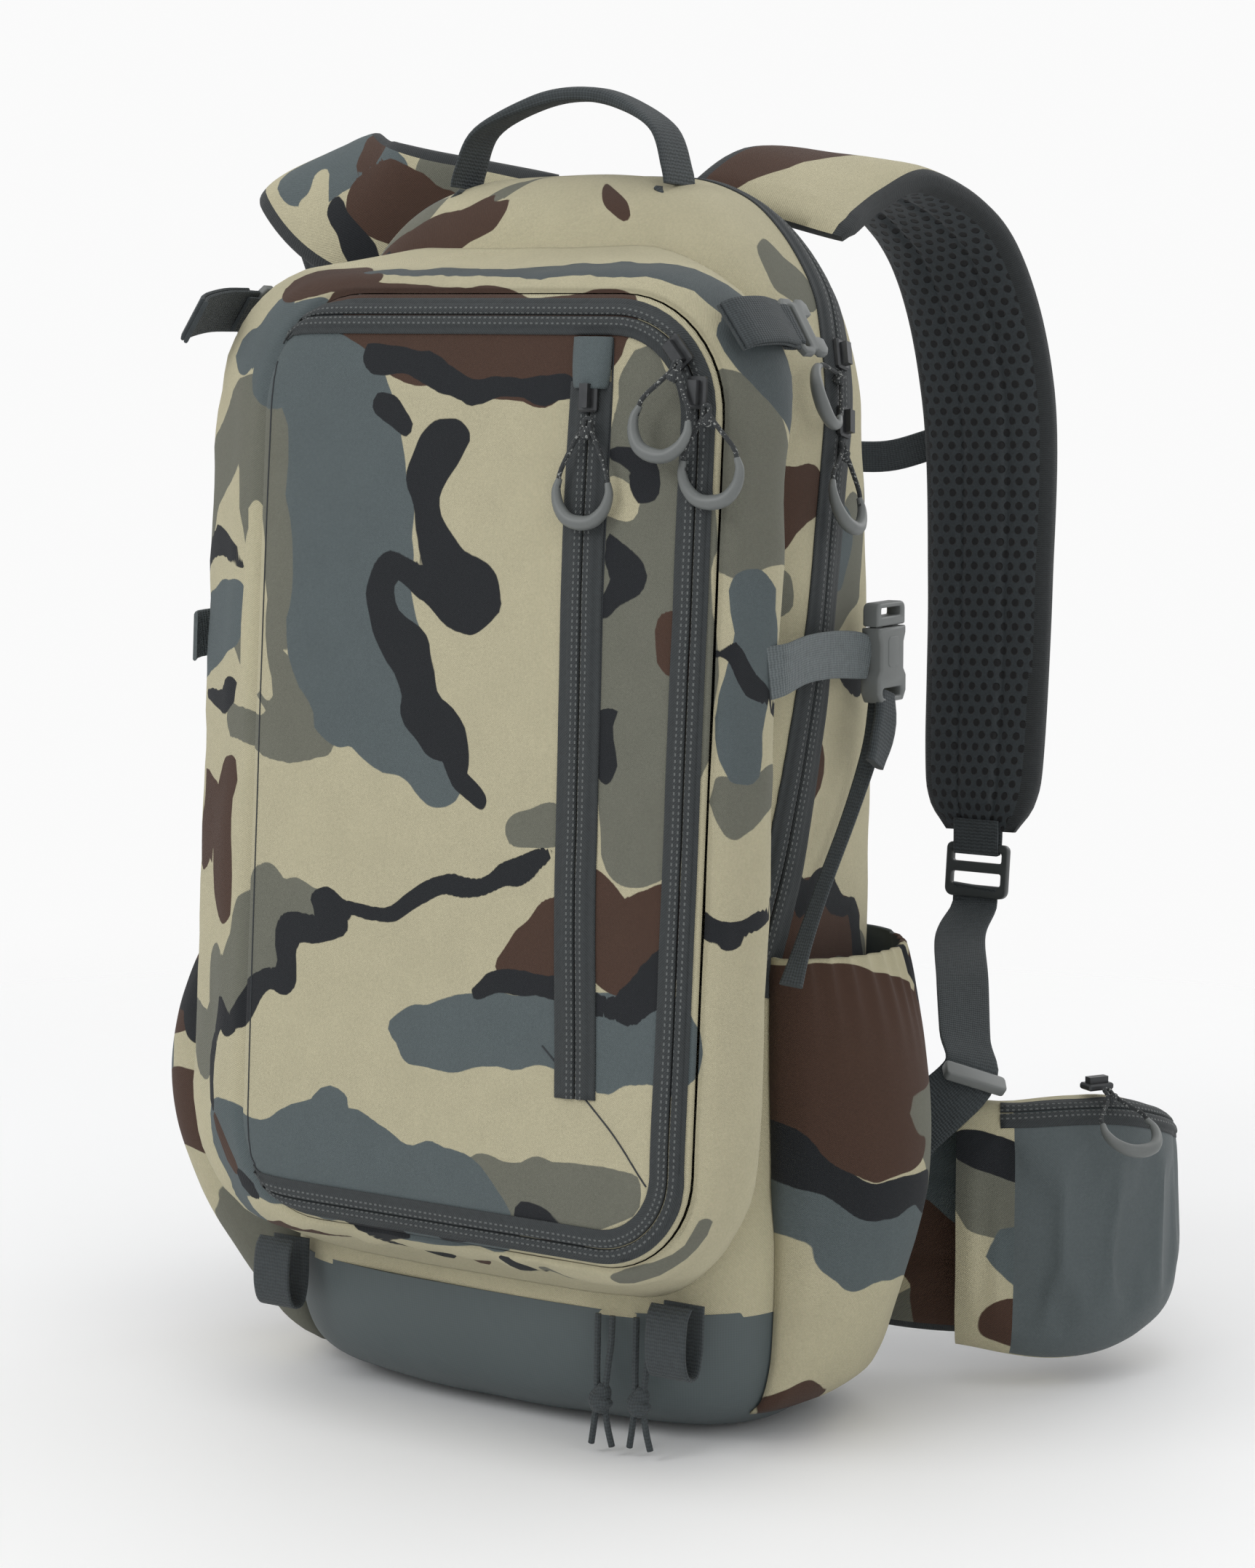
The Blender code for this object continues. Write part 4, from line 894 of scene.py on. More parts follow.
doorPatches = (
    ("sage", (-0.100, 0.435, 0.020), (-0.098, 0.410, 0.020), (-0.092, 0.385, 0.022), (-0.086, 0.355, 0.020)),
    ("sage", (-0.115, 0.345, 0.010), (-0.095, 0.330, 0.013), (-0.072, 0.318, 0.014), (-0.062, 0.305, 0.010)),
    ("sage", (-0.120, 0.302, 0.009), (-0.090, 0.298, 0.008), (-0.060, 0.300, 0.010)),
    ("sage", (-0.088, 0.235, 0.007), (-0.092, 0.214, 0.015), (-0.102, 0.195, 0.017), (-0.110, 0.175, 0.014)),
    ("sage", (-0.100, 0.212, 0.014), (-0.070, 0.228, 0.010), (-0.060, 0.228, 0.010)),
    ("sage", (0.046, 0.270, 0.009), (0.058, 0.270, 0.010)),
    ("sage", (0.035, 0.124, 0.008), (0.050, 0.116, 0.014), (0.080, 0.117, 0.015), (0.100, 0.122, 0.012)),
    ("sage", (0.104, 0.445, 0.022), (0.104, 0.410, 0.026), (0.104, 0.360, 0.026), (0.104, 0.310, 0.026),
     (0.106, 0.275, 0.024)),
    ("slate", (-0.088, 0.475, 0.016), (-0.062, 0.445, 0.028), (-0.050, 0.405, 0.033), (-0.044, 0.365, 0.032),
     (-0.038, 0.330, 0.027), (-0.032, 0.310, 0.020), (-0.012, 0.297, 0.010), (0.004, 0.283, 0.011)),
    ("slate", (-0.080, 0.482, 0.010), (-0.102, 0.462, 0.014), (-0.096, 0.450, 0.010)),
    ("slate", (-0.068, 0.385, 0.012), (-0.062, 0.350, 0.016), (-0.046, 0.310, 0.016)),
    ("slate", (-0.006, 0.178, 0.010), (0.016, 0.180, 0.016), (0.042, 0.181, 0.015), (0.075, 0.184, 0.016),
     (0.112, 0.184, 0.022)),
    ("slate", (-0.115, 0.112, 0.022), (-0.080, 0.114, 0.021), (-0.048, 0.118, 0.026), (-0.010, 0.108, 0.021),
     (0.020, 0.110, 0.020), (0.034, 0.102, 0.014)),
    ("slate", (-0.048, 0.138, 0.010), (-0.045, 0.144, 0.006)),
    ("tan", (-0.105, 0.394, 0.006), (-0.106, 0.372, 0.008), (-0.103, 0.345, 0.012), (-0.100, 0.325, 0.012)),
    ("tan", (-0.096, 0.330, 0.008), (-0.088, 0.320, 0.005)),
    ("tan", (0.010, 0.484, 0.003), (-0.008, 0.486, 0.004), (0.022, 0.482, 0.003)),
    ("brown", (-0.062, 0.482, 0.013), (-0.024, 0.474, 0.020), (0.020, 0.468, 0.022), (0.056, 0.463, 0.021),
     (0.078, 0.474, 0.010)),
    ("brown", (0.042, 0.208, 0.007), (0.056, 0.216, 0.014), (0.066, 0.224, 0.016)),
    ("brown", (0.088, 0.236, 0.018), (0.100, 0.222, 0.021), (0.118, 0.238, 0.014)),
    ("brown", (0.116, 0.356, 0.006), (0.114, 0.348, 0.011), (0.118, 0.340, 0.008)),
    ("brown", (0.062, 0.104, 0.004), (0.070, 0.103, 0.004)),
    ("tan", (0.086, 0.466, 0.006), (0.098, 0.474, 0.010), (0.108, 0.462, 0.010)),
    ("tan", (0.084, 0.403, 0.008), (0.092, 0.398, 0.005)),
    ("tan", (0.092, 0.160, 0.008), (0.108, 0.158, 0.012), (0.112, 0.150, 0.010)),
    ("black", (-0.042, 0.458, 0.006), (-0.020, 0.462, 0.005), (0.002, 0.452, 0.007), (0.030, 0.450, 0.005),
     (0.056, 0.447, 0.006)),
    ("black", (-0.082, 0.474, 0.004), (-0.066, 0.480, 0.004), (-0.060, 0.470, 0.003)),
    ("black", (-0.036, 0.440, 0.005), (-0.026, 0.437, 0.006), (-0.020, 0.430, 0.004)),
    ("black", (0.001, 0.430, 0.009), (-0.007, 0.414, 0.010), (-0.009, 0.396, 0.006), (-0.002, 0.380, 0.007),
     (0.014, 0.366, 0.014), (0.018, 0.358, 0.010), (0.002, 0.358, 0.005), (-0.012, 0.374, 0.005),
     (-0.024, 0.376, 0.005), (-0.028, 0.358, 0.008), (-0.018, 0.340, 0.011), (-0.008, 0.322, 0.009),
     (0.004, 0.306, 0.013), (0.012, 0.300, 0.008), (0.012, 0.288, 0.006), (0.022, 0.281, 0.005)),
    ("black", (0.057, 0.2555, 0.0050), (0.042, 0.250, 0.0048), (0.026, 0.242, 0.004), (0.006, 0.243, 0.0048),
     (-0.010, 0.234, 0.005), (-0.024, 0.226, 0.004), (-0.042, 0.229, 0.004), (-0.055, 0.232, 0.006),
     (-0.047, 0.220, 0.006), (-0.066, 0.215, 0.006), (-0.077, 0.208, 0.007), (-0.075, 0.192, 0.006),
     (-0.090, 0.188, 0.005), (-0.100, 0.176, 0.006), (-0.108, 0.164, 0.005), (-0.120, 0.172, 0.005)),
    ("black", (0.024, 0.197, 0.004), (0.042, 0.202, 0.006), (0.068, 0.200, 0.006), (0.092, 0.196, 0.005),
     (0.106, 0.202, 0.008), (0.120, 0.216, 0.008)),
    ("black", (0.082, 0.421, 0.003), (0.096, 0.415, 0.006), (0.100, 0.404, 0.006), (0.092, 0.409, 0.003)),
    ("black", (0.082, 0.384, 0.003), (0.092, 0.370, 0.007), (0.082, 0.361, 0.004)),
    ("black", (0.084, 0.314, 0.006), (0.086, 0.296, 0.006)),
    ("black", (-0.108, 0.102, 0.005), (-0.094, 0.094, 0.005)),
    ("black", (-0.042, 0.093, 0.003), (-0.026, 0.088, 0.004), (-0.012, 0.091, 0.003)),
    ("black", (0.012, 0.096, 0.004), (0.034, 0.098, 0.005), (0.050, 0.097, 0.003)),
    ("black", (0.054, 0.108, 0.005), (0.072, 0.106, 0.004), (0.084, 0.101, 0.003)),
)


def onPanel(route):
    # points just in front of the front panel, from (x, height) pairs
    return [(x, panelFace(z) - panel["crown"] - 0.001, z) for x, z in route]


def makeDoor():
    # rings from the rim to the middle, rising by sqrt(1 - share^9) of the crown
    outline = panelOutline(0.0)
    middle = np.array([(panel["left"] + panel["right"]) / 2, (panel["bottom"] + panel["top"]) / 2])
    share = 1 - np.linspace(0, 1, 60) ** 1.15
    share[-1] = 0.004
    flat = middle + (outline - middle)[None] * share[:, None, None]
    rise = np.sqrt(1 - share**9)[:, None] * panel["crown"]
    puff = latticeNoise(flat, 0.060, 41) * 0.0007 + latticeNoise(flat, 0.022, 42) * 0.00025
    y = panelFace(flat[..., 1]) - rise + puff * np.minimum(1, (1 - share) * 8)[:, None]
    grid = np.stack([flat[..., 0], y, flat[..., 1]], -1)
    tall = np.concatenate([flat, flat[:, :1]], 1)
    face = gridPart(grid, closeV=True, caps=True, uv=tall, paint=paintPatches(flat, doorPatches, 51))
    face["ends"] = face["ends"][1:]  # the rim stays open, so the lining shows inside
    door = makePiece("frontPanel", face, "front_panel", ["camo"], ("front_panel",), wall=panel["wall"],
                     wallLook="stretch")
    inset = panel["zipInset"]
    right, bottom, top = panel["right"] - inset, panel["bottom"] + inset, panel["top"] - inset
    low, high = panel["cornerBottom"] - inset, panel["cornerTop"] - inset
    run = np.vstack([[(panel["left"] + 0.002, bottom)], arc((right - low, bottom + low), low, -90, 0, 14),
                     arc((right - high, top - high), high, 0, 90, 14), [(panel["left"] + 0.002, top)]])
    run = evenly(np.column_stack([run[:, 0], panelFace(run[:, 1]) - panel["crown"], run[:, 1]]), 0.003)
    out = unit(np.array([0, -1, panel["lean"]]))
    makeZip("panelZip", run, lambda path: np.cross(unit(np.gradient(path, axis=0)), out), panel["zipWidth"], door,
            "front_panel")
    makeZip("pocketZip", np.array(onPanel(panel["pocketZip"]))[::-1], (1, 0, 0), panel["pocketZipWidth"], door,
            "front_panel")
    # a folded tab over the pocket zip's upper end
    s, t = np.meshgrid(np.linspace(-1, 1, 25), np.linspace(0, 1, 25))
    tab = panel["tab"]
    wide = tab["width"] / 2 * (0.80 + 0.20 * np.sqrt(np.maximum(0, 1 - (1 - t) ** 4)))
    x, z = tab["x"] + s * wide, tab["bottom"] + t * (tab["top"] - tab["bottom"])
    lift = tab["height"] * (1 - s**4) * (0.55 + 0.45 * (1 - t)) + 0.0008
    flat = layOn(np.stack([x, panelFace(z) - panel["crown"] - 0.001, z], -1), door, 0.0002)
    paint = paintPatches(np.stack([x, z], -1), (("slate", (tab["x"], 0.45, 0.05)),), 57)
    makePiece("pocketZipTab", gridPart(raised(flat, lift), paint=paint), "front_panel", ["camo"],
              wall=0.0010)
    # seams are thin sunk lines of thread
    seams = []
    for route in panel["seams"]:
        line = layOn(evenly(smoothPath(onPanel(route), 8), 0.002)[None], door, 0.0)[0]
        seams.append(gridPart(tubeGrid(line, panel["seamRadius"], 6), closeV=True, caps=True))
    makePiece("panelSeams", seams, "front_panel", ["thread"])


shellPatches = (
    ("sage", (0.140, 0.440, 0.016), (0.150, 0.410, 0.020), (0.140, 0.390, 0.012)),
    ("slate", (0.150, 0.372, 0.012), (0.155, 0.350, 0.014), (0.145, 0.320, 0.014), (0.150, 0.300, 0.010)),
    ("slate", (0.190, 0.420, 0.016), (0.185, 0.380, 0.018)),
    ("black", (0.128, 0.344, 0.004), (0.140, 0.346, 0.006), (0.156, 0.338, 0.006), (0.172, 0.330, 0.006)),
    ("sage", (0.142, 0.286, 0.008), (0.150, 0.278, 0.010), (0.166, 0.290, 0.010)),
    ("black", (0.128, 0.238, 0.006), (0.140, 0.228, 0.006), (0.155, 0.226, 0.006), (0.170, 0.232, 0.005)),
    ("grey", (0.138, 0.476, 0.014), (0.160, 0.462, 0.016), (0.185, 0.455, 0.016)),
    ("grey", (-0.055, 0.507, 0.006), (0.000, 0.509, 0.009), (0.060, 0.507, 0.011), (0.105, 0.503, 0.012),
     (0.135, 0.492, 0.012)),
    ("brown", (-0.100, 0.500, 0.010), (-0.075, 0.505, 0.012), (-0.055, 0.497, 0.008)),
    ("slate", (-0.105, 0.485, 0.010), (-0.125, 0.470, 0.012)),
    ("sage", (-0.120, 0.440, 0.018), (-0.150, 0.420, 0.020), (-0.170, 0.400, 0.018)),
    ("black", (-0.116, 0.372, 0.004), (-0.130, 0.378, 0.006), (-0.150, 0.384, 0.007), (-0.170, 0.376, 0.006)),
    ("slate", (-0.125, 0.350, 0.014), (-0.150, 0.345, 0.018), (-0.175, 0.340, 0.018)),
    ("black", (-0.120, 0.316, 0.007), (-0.140, 0.308, 0.006), (-0.160, 0.314, 0.005)),
    ("brown", (-0.126, 0.275, 0.010), (-0.130, 0.245, 0.016), (-0.126, 0.222, 0.012)),
    ("brown", (-0.150, 0.260, 0.014), (-0.160, 0.235, 0.012)),
    ("sage", (-0.130, 0.190, 0.010), (-0.135, 0.160, 0.012), (-0.150, 0.150, 0.016)),
    ("black", (-0.118, 0.168, 0.005), (-0.132, 0.150, 0.005), (-0.128, 0.130, 0.005)),
    ("brown", (-0.122, 0.120, 0.006), (-0.115, 0.108, 0.006)),
    ("brown", (-0.095, 0.070, 0.008), (-0.075, 0.076, 0.007), (-0.062, 0.070, 0.006)),
    ("slate", (-0.115, 0.085, 0.010), (-0.105, 0.070, 0.008)),
    ("black", (-0.032, 0.086, 0.002), (-0.022, 0.076, 0.004), (-0.018, 0.066, 0.005), (-0.005, 0.058, 0.004)),
    ("brown", (0.004, 0.066, 0.005), (0.014, 0.060, 0.006)),
    ("black", (0.040, 0.084, 0.004), (0.048, 0.074, 0.005), (0.052, 0.062, 0.004)),
    ("sage", (0.062, 0.076, 0.006), (0.074, 0.068, 0.008)),
    ("sage", (0.100, 0.084, 0.005), (0.124, 0.094, 0.006), (0.136, 0.104, 0.005)),
)


def makeShell():
    # four outlines, from the bag's wall to the front panel's rim, joined by a smooth curve
    rear = roundedOutline(-0.114, 0.114, 0.067, 0.508, 0.030, 0.060)
    behind = np.column_stack([rear[:, 0], bagFront(rear[:, 0], rear[:, 1], 0.0008), rear[:, 1]])

    def row(grow, backOff, leftGrow=0.0):
        outline = panelOutline(grow, leftGrow)
        return np.column_stack([outline[:, 0], panelFace(outline[:, 1]) + backOff, outline[:, 1]])

    edge, lip, corner = row(0.0006, 0.0004), row(0.004, 0.0012, 0.006), row(0.010, 0.009, 0.016)
    bulge = panelOutline(0.0135, 0.038)
    bulge = np.column_stack([bulge[:, 0], 0.55 * corner[:, 1] + 0.45 * behind[:, 1], bulge[:, 1]])
    rows = smoothPath(np.stack([behind, bulge, corner, lip, edge]), 9)
    rim = edge[None, :, ::2]
    outward = unit(rim - rim.mean(1, keepdims=True))
    depth = np.maximum(0, rows[..., 1] - panelFace(rows[..., 2]))[..., None]
    places = rows[..., ::2] + outward * depth * 0.8
    rows = rippled(rows, 0.0009, 61, 0.045)
    crease = latticeNoise(rows * (1, 0.45, 1), 0.013, 65) * np.sin(np.linspace(0, np.pi, len(rows)))[:, None]
    rows = raised(rows, crease * 0.0006 * (1 + 1.6 * np.exp(-((rows[..., 2] - 0.07) / 0.03) ** 2)))
    # a turned-in edge hides the wall beside the panel
    rows = np.concatenate([rows, rows[-1:] + np.array([0, 0.004, 0])])
    places = np.concatenate([places, places[-1:]])
    paint = paintPatches(places, shellPatches + doorPatches, 51)
    makePiece("compartmentGusset", gridPart(rows, closeV=True, paint=paint), "pack", ["camo"],
              ("front_pocket_shell",), wall=0.0018, wallLook="stretch")


makeShell()
makeDoor()
print("front compartment made")


# Straps and webbing: a station is x, y, z, the width's direction, and the width


def mirrored(grid):
    return np.asarray(grid) * (-1, 1, 1)


def sideways(side):
    # the left side's surfaces are the right side's turned over
    return (lambda grid: grid, False) if side == "right" else (mirrored, True)


def ribbonPart(stations, thickness, step=0.004, perSpan=8):
    # thin webbing with rounded edges
    line = evenly(smoothPath(stations, perSpan), step)
    path, width = line[:, :3], line[:, 6:7]
    turn = np.linspace(0, np.pi, 5)[1:-1]
    half = thickness / 2
    across = np.array([-1, -0.8, -0.4, 0, 0.4, 0.8, 1])
    top = np.column_stack([across, np.full(7, half)])
    rounding = np.column_stack([1 + 0 * turn, half * np.cos(turn)])
    profile = np.vstack([top, rounding, top[::-1] * (1, -1), rounding[::-1] * (-1, 1)])
    shape = np.repeat(profile[None], len(path), 0)
    shape[..., 0] = shape[..., 0] * (width / 2 - half)
    shape[:, 7:10, 0] += half * np.sin(turn)
    shape[:, 17:20, 0] -= half * np.sin(turn)
    return gridPart(carry(path, line[:, 3:6], shape), closeV=True, caps=True)


def bead(place, radius, stretch=(1, 1, 1), twist=0.0):
    # a knot: a ball with a wound cord's ridges
    polar = np.linspace(0.05, np.pi - 0.05, 14)[:, None]
    around = np.linspace(0, 2 * np.pi, 20, endpoint=False)[None]
    swell = radius * (1 + 0.16 * np.sin(3 * polar + around + twist))
    ball = np.stack([swell * np.sin(polar) * np.cos(around), swell * np.sin(polar) * np.sin(around),
                     -swell * np.cos(polar) * np.ones_like(around)], -1)
    return gridPart(ball * stretch + np.asarray(place), closeV=True, caps=True)


def tubePart(path, radius, count):
    # a tube whose radius runs through the given values along it
    line = smoothPath(path, 8)
    radius = np.interp(np.linspace(0, 1, len(line)), np.linspace(0, 1, len(radius)), radius)
    return gridPart(tubeGrid(line, radius, count), closeV=True, caps=True)


# Side pockets: patches of the bag's side that swell away from it

pocket = dict(
    top=0.210, foot=0.012, back=0.044, gap=0.0030, wall=0.0024, edgeWidth=0.05, gathers=13, gatherDepth=0.0011,
    shapes={"right": (-0.052, 0.038, -0.1, 0.5), "left": (-0.060, 0.066, -0.45, 0.35)},
)
rightPocket = (
    ("brown", (-0.062, 0.188, 0.014), (-0.040, 0.184, 0.026), (-0.015, 0.178, 0.027), (0.004, 0.172, 0.020)),
    ("brown", (-0.030, 0.150, 0.020), (-0.048, 0.146, 0.020), (-0.020, 0.132, 0.016)),
    ("brown", (0.028, 0.205, 0.008), (0.020, 0.190, 0.008)),
    ("sage", (-0.004, 0.146, 0.014), (0.008, 0.134, 0.016), (0.016, 0.116, 0.014)),
    ("sage", (-0.060, 0.180, 0.009), (-0.048, 0.184, 0.008)),
    ("black", (0.012, 0.208, 0.004), (0.020, 0.196, 0.006), (0.030, 0.186, 0.006)),
    ("black", (-0.066, 0.146, 0.007), (-0.052, 0.124, 0.007), (-0.036, 0.112, 0.008), (-0.018, 0.106, 0.009),
     (-0.002, 0.110, 0.008), (0.008, 0.102, 0.005)),
    ("slate", (-0.064, 0.112, 0.014), (-0.044, 0.098, 0.012), (-0.030, 0.086, 0.014), (-0.006, 0.090, 0.018),
     (0.020, 0.084, 0.020)),
    ("brown", (-0.040, 0.020, 0.010), (-0.026, 0.014, 0.008)),
    ("grey", (0.046, 0.230, 0.012), (0.048, 0.180, 0.020), (0.050, 0.130, 0.024), (0.046, 0.080, 0.018)),
)


def makeSidePocket(side):
    front, bulge, forward, deepest = pocket["shapes"][side]
    place, flip = sideways(side)
    share = np.linspace(0, 1, 90)[None]
    across = front + (pocket["back"] - front) * share
    rise = np.linspace(0, 1, 90)[:, None]
    height = pocket["foot"] + (pocket["top"] - pocket["foot"]) * rise
    reach = np.sin(np.pi * share ** (math.log(0.5) / math.log(deepest))) ** 0.75
    swell = np.maximum(0, (np.sin(np.pi * (0.08 + 0.72 * rise)) ** 0.8 - 0.22) / 0.78) * bulge
    # the edges are sewn down, so the clearance fades out towards them
    sewn = np.minimum(1, np.minimum(share, 1 - share) / pocket["edgeWidth"]) * np.minimum(1, rise / 0.05)
    clear = 0.0006 + (pocket["gap"] + pocket["wall"] - 0.0006) * np.sqrt(sewn)
    wall = bagSide(across, height)
    wall = wall + (bagSide(across, height, 1.0) - wall) * clear[..., None]
    folds = np.sin(2 * np.pi * share * pocket["gathers"] + 2 * np.sin(9 * share))
    folds = folds * np.exp(-((1 - rise) / 0.13) ** 2) * np.minimum(1, np.minimum(share, 1 - share) * 12)
    lift = swell * reach + folds * pocket["gatherDepth"]
    grid = np.stack([wall[..., 0] + lift, wall[..., 1] + forward * swell * reach, height + 0 * share], -1)
    grid = rippled(grid, 0.0010, 71, 0.05) if side == "right" else rippled(grid, 0.0012, 72, 0.05)
    hem = grid[-1:] + np.array([-0.0012, 0, 0.0010])  # rolled over the top edge
    grid = np.concatenate([grid, hem])
    places = np.stack([np.broadcast_to(across, (90, 90)), np.broadcast_to(height, (90, 90))], -1)
    places = np.concatenate([places, places[-1:]])
    strokes = rightPocket if side == "right" else scatterStrokes(17, (-0.07, 0.0), (0.06, 0.23), 1.3)
    part = gridPart(place(grid), paint=paintPatches(places, strokes, 73), flip=flip)
    makePiece(f"sidePocket_{side}", part, "pack", ["camo"], (f"side_pocket_{side}",), wall=0.0014,
              wallLook="stretch")


for side in sides:
    makeSidePocket(side)
print("side pockets made")


# Buckles

buckle = dict(length=0.032, edge=0.0014, mouth=0.016, head=0.010, gap=0.0005)


def socketPart(matrix, width, thickness):
    half, low, high = width / 2, -buckle["length"] / 2, buckle["length"] / 2
    waist = [(half, low + 0.004), (half, low + 0.011), (half - 0.0022, low + 0.014), (half - 0.0022, high - 0.007),
             (half - 0.0006, high - 0.003), (half - 0.0006, high)]
    waist = np.array([(half - 0.0025, low), *waist])
    outline = np.vstack([waist, waist[::-1] * (-1, 1)])
    slot = roundedOutline(-half + 0.004, half - 0.004, low + 0.0025, low + 0.0060, 0.001, 0.001, 3, 2)
    window = roundedOutline(-half * 0.36, half * 0.36, -0.001, high - 0.004, 0.002, 0.002, 4, 2)
    body = platePart([outline, slot], thickness, matrix, buckle["edge"])
    badge = platePart([window], thickness + 0.0006, matrix, 0.0003)
    return [body, badge]


def plugPart(matrix, width, thickness):
    half, mouth = width / 2, buckle["mouth"] + buckle["gap"]
    top = mouth + buckle["head"]
    head = roundedOutline(-half, half, mouth, top, 0.001, 0.003, 4, 3)
    slot = roundedOutline(-half + 0.0035, half - 0.0035, mouth + 0.0042, top - 0.0022, 0.0008, 0.0008, 3, 2)
    parts = [platePart([head, slot], thickness * 0.8, matrix, 0.0010)]
    # the two springs that click into the socket's sides
    for sign in (-1, 1):
        inner, outer = half - 0.0075, half - 0.0026
        spring = roundedOutline(inner, outer, mouth - 0.0150, mouth + 0.001, 0.0016, 0.0008, 4, 3) * (sign, 1)
        parts.append(platePart([spring if sign > 0 else spring[::-1]], thickness * 0.36, matrix, 0.0006))
    return parts


def rollPart(matrix, width, gap, reach, thickness=0.0016):
    # webbing folded round a bar: out along the top, round the bar and back below
    turn = np.linspace(0.5 * np.pi, -0.5 * np.pi, 9)
    upper = [(-reach, gap), (-reach * 0.5, gap)]
    bend = [(gap * math.cos(a), gap * math.sin(a)) for a in turn]
    lower = [(-reach * 0.5, -gap), (-reach, -gap)]
    turned = np.array(matrix)
    stations = []
    for along, out in upper + bend + lower:
        place = turned[:3, :3] @ (0, along, out) + turned[:3, 3]
        stations.append((*place, *turned[:3, 0], width))
    return ribbonPart(stations, thickness, 0.0015, 3)


# Side compression straps

# tail: x, y, z, the y and z of its width's direction, width. cross: x, y, z, the y of that direction, width
sideStrap = dict(
    x=0.1420, edge={"right": 0.1475, "left": 0.1560}, width=0.020, thickness=0.0017, buckle=(0.024, 0.0095),
    tail=((0.1440, 0.0060, 0.3190, 1, 0.2, 0.011), (0.1470, 0.0010, 0.3080, 1, 0.4, 0.013),
          (0.1480, -0.0050, 0.2980, 0.9, 0.5, 0.015), (0.1475, -0.0090, 0.2900, 0.9, 0.5, 0.015)),
    cross=((0.1395, 0.0090, 0.3160, 0.5, 0.009), (0.1385, 0.0040, 0.2950, 0.4, 0.008),
           (0.1370, -0.0110, 0.2680, 0.3, 0.007), (0.1375, -0.0360, 0.2380, 0.3, 0.007),
           (0.1400, -0.0560, 0.2170, 0.3, 0.008), (0.1430, -0.0700, 0.2040, 0.6, 0.010)),
)


def makeSideStraps():
    width = sideStrap["width"]
    for side, sign in sides.items():
        edge = sideStrap["edge"][side]
        stations = [(sign * (edge - 0.0030), -0.0920, 0.3355, 0, 0.1, 1, 0.022),
                    (sign * (edge - 0.0002), -0.0830, 0.3365, 0, 0.1, 1, 0.021),
                    (sign * 0.1440, -0.0600, 0.3385, 0, 0, 1, width),
                    (sign * 0.1405, -0.0330, 0.3380, 0, 0, 1, width),
                    (sign * 0.1395, -0.0110, 0.3360, 0, 0, 1, width),
                    (sign * 0.1405, -0.0020, 0.3340, 0, 0, 1, 0.018)]
        makePiece(f"sideStrap_{side}", ribbonPart(stations, sideStrap["thickness"]), "pack",
                  ["paleWebbing"], (f"side_strap_{side}",))
        matrix = facing((sign * sideStrap["x"], 0.0080, 0.3310), (0, sign, 0), (0, 0, 1))
        makePiece(f"sideSocket_{side}", socketPart(matrix, *sideStrap["buckle"]), "pack",
                  ["plastic"], (f"side_buckle_socket_{side}",))
        makePiece(f"sidePlug_{side}", plugPart(matrix, *sideStrap["buckle"]), f"side_plug_{side}",
                  ["plastic"], (f"side_buckle_plug_{side}",))
        # a folded tail below the buckle, and the thin strap that runs down to the pocket's front corner
        tail = [(sign * x, y, z, 0, out, up, wide) for x, y, z, out, up, wide in sideStrap["tail"]]
        cross = [(sign * x, y, z, sign, turn, 0, wide) for x, y, z, turn, wide in sideStrap["cross"]]
        makePiece(f"sideTail_{side}", [ribbonPart(tail, 0.0042), ribbonPart(cross, 0.0016)], "pack",
                  ["webbing"])


makeSideStraps()


# Top compression straps, each ending in a hook

# right and left: the corner's x, the strap's distance from the corner at each y, and the hook's lean
topStrap = dict(
    cornerZ=0.437, lean=35.0, y=(-0.1040, -0.0980, -0.0800, -0.0640, -0.0590), width=0.022, thickness=0.0019,
    hook=((0.0100, 0), (0.0135, 0.0020), (0.0135, 0.0070), (0.0118, 0.0085), (0.0118, 0.0100), (0.0135, 0.0115),
          (0.0135, 0.0150), (0.0110, 0.0170), (0.0060, 0.0170), (0.0050, 0.0150), (0.0050, 0.0128)),
    right=(0.0810, (0.0640, 0.0672, 0.0680, 0.0652, 0.0640), -0.16),
    left=(-0.0860, (0.0660, 0.0700, 0.0740, 0.0742, 0.0740), 0.05),
)


def makeTopStraps():
    turn = math.radians(topStrap["lean"])
    out, up = math.cos(turn), math.sin(turn)
    for side, sign in sides.items():
        cornerX, radii, lean = topStrap[side]
        layers = []
        for lift in (0.0, 0.0021):
            stations = [(cornerX + sign * (radius + lift) * out, y, topStrap["cornerZ"] + (radius + lift) * up,
                         -sign * up, 0, out, topStrap["width"]) for radius, y in zip(radii, topStrap["y"])]
            layers.append(ribbonPart(stations[:4 if lift else 5], topStrap["thickness"]))
        end = Vector((cornerX + sign * radii[-1] * out, -0.0585, topStrap["cornerZ"] + radii[-1] * up))
        matrix = facing(end, (-sign * up, 0, out), (-lean * sign, 1, -0.05))
        layers.append(rollPart(matrix @ Matrix.Translation((0, 0.0006, 0)), 0.0185, 0.0028, 0.009))
        makePiece(f"topStrap_{side}", layers, "pack", ["webbing"], (f"top_strap_{side}",))
        half = np.array(topStrap["hook"])
        outer = np.vstack([half, half[::-1] * (-1, 1)])
        slot = roundedOutline(-0.0100, 0.0100, 0.0030, 0.0068, 0.001, 0.001, 3, 2)
        makePiece(f"topHook_{side}", platePart([outer, slot], 0.0036, matrix, 0.0009), f"top_hook_{side}",
                  ["plastic"], (f"top_hook_{side}",))


makeTopStraps()
print("compression straps made")


# Shoulder straps: a foam pad with camouflage outside, spacer mesh inside and bound edges

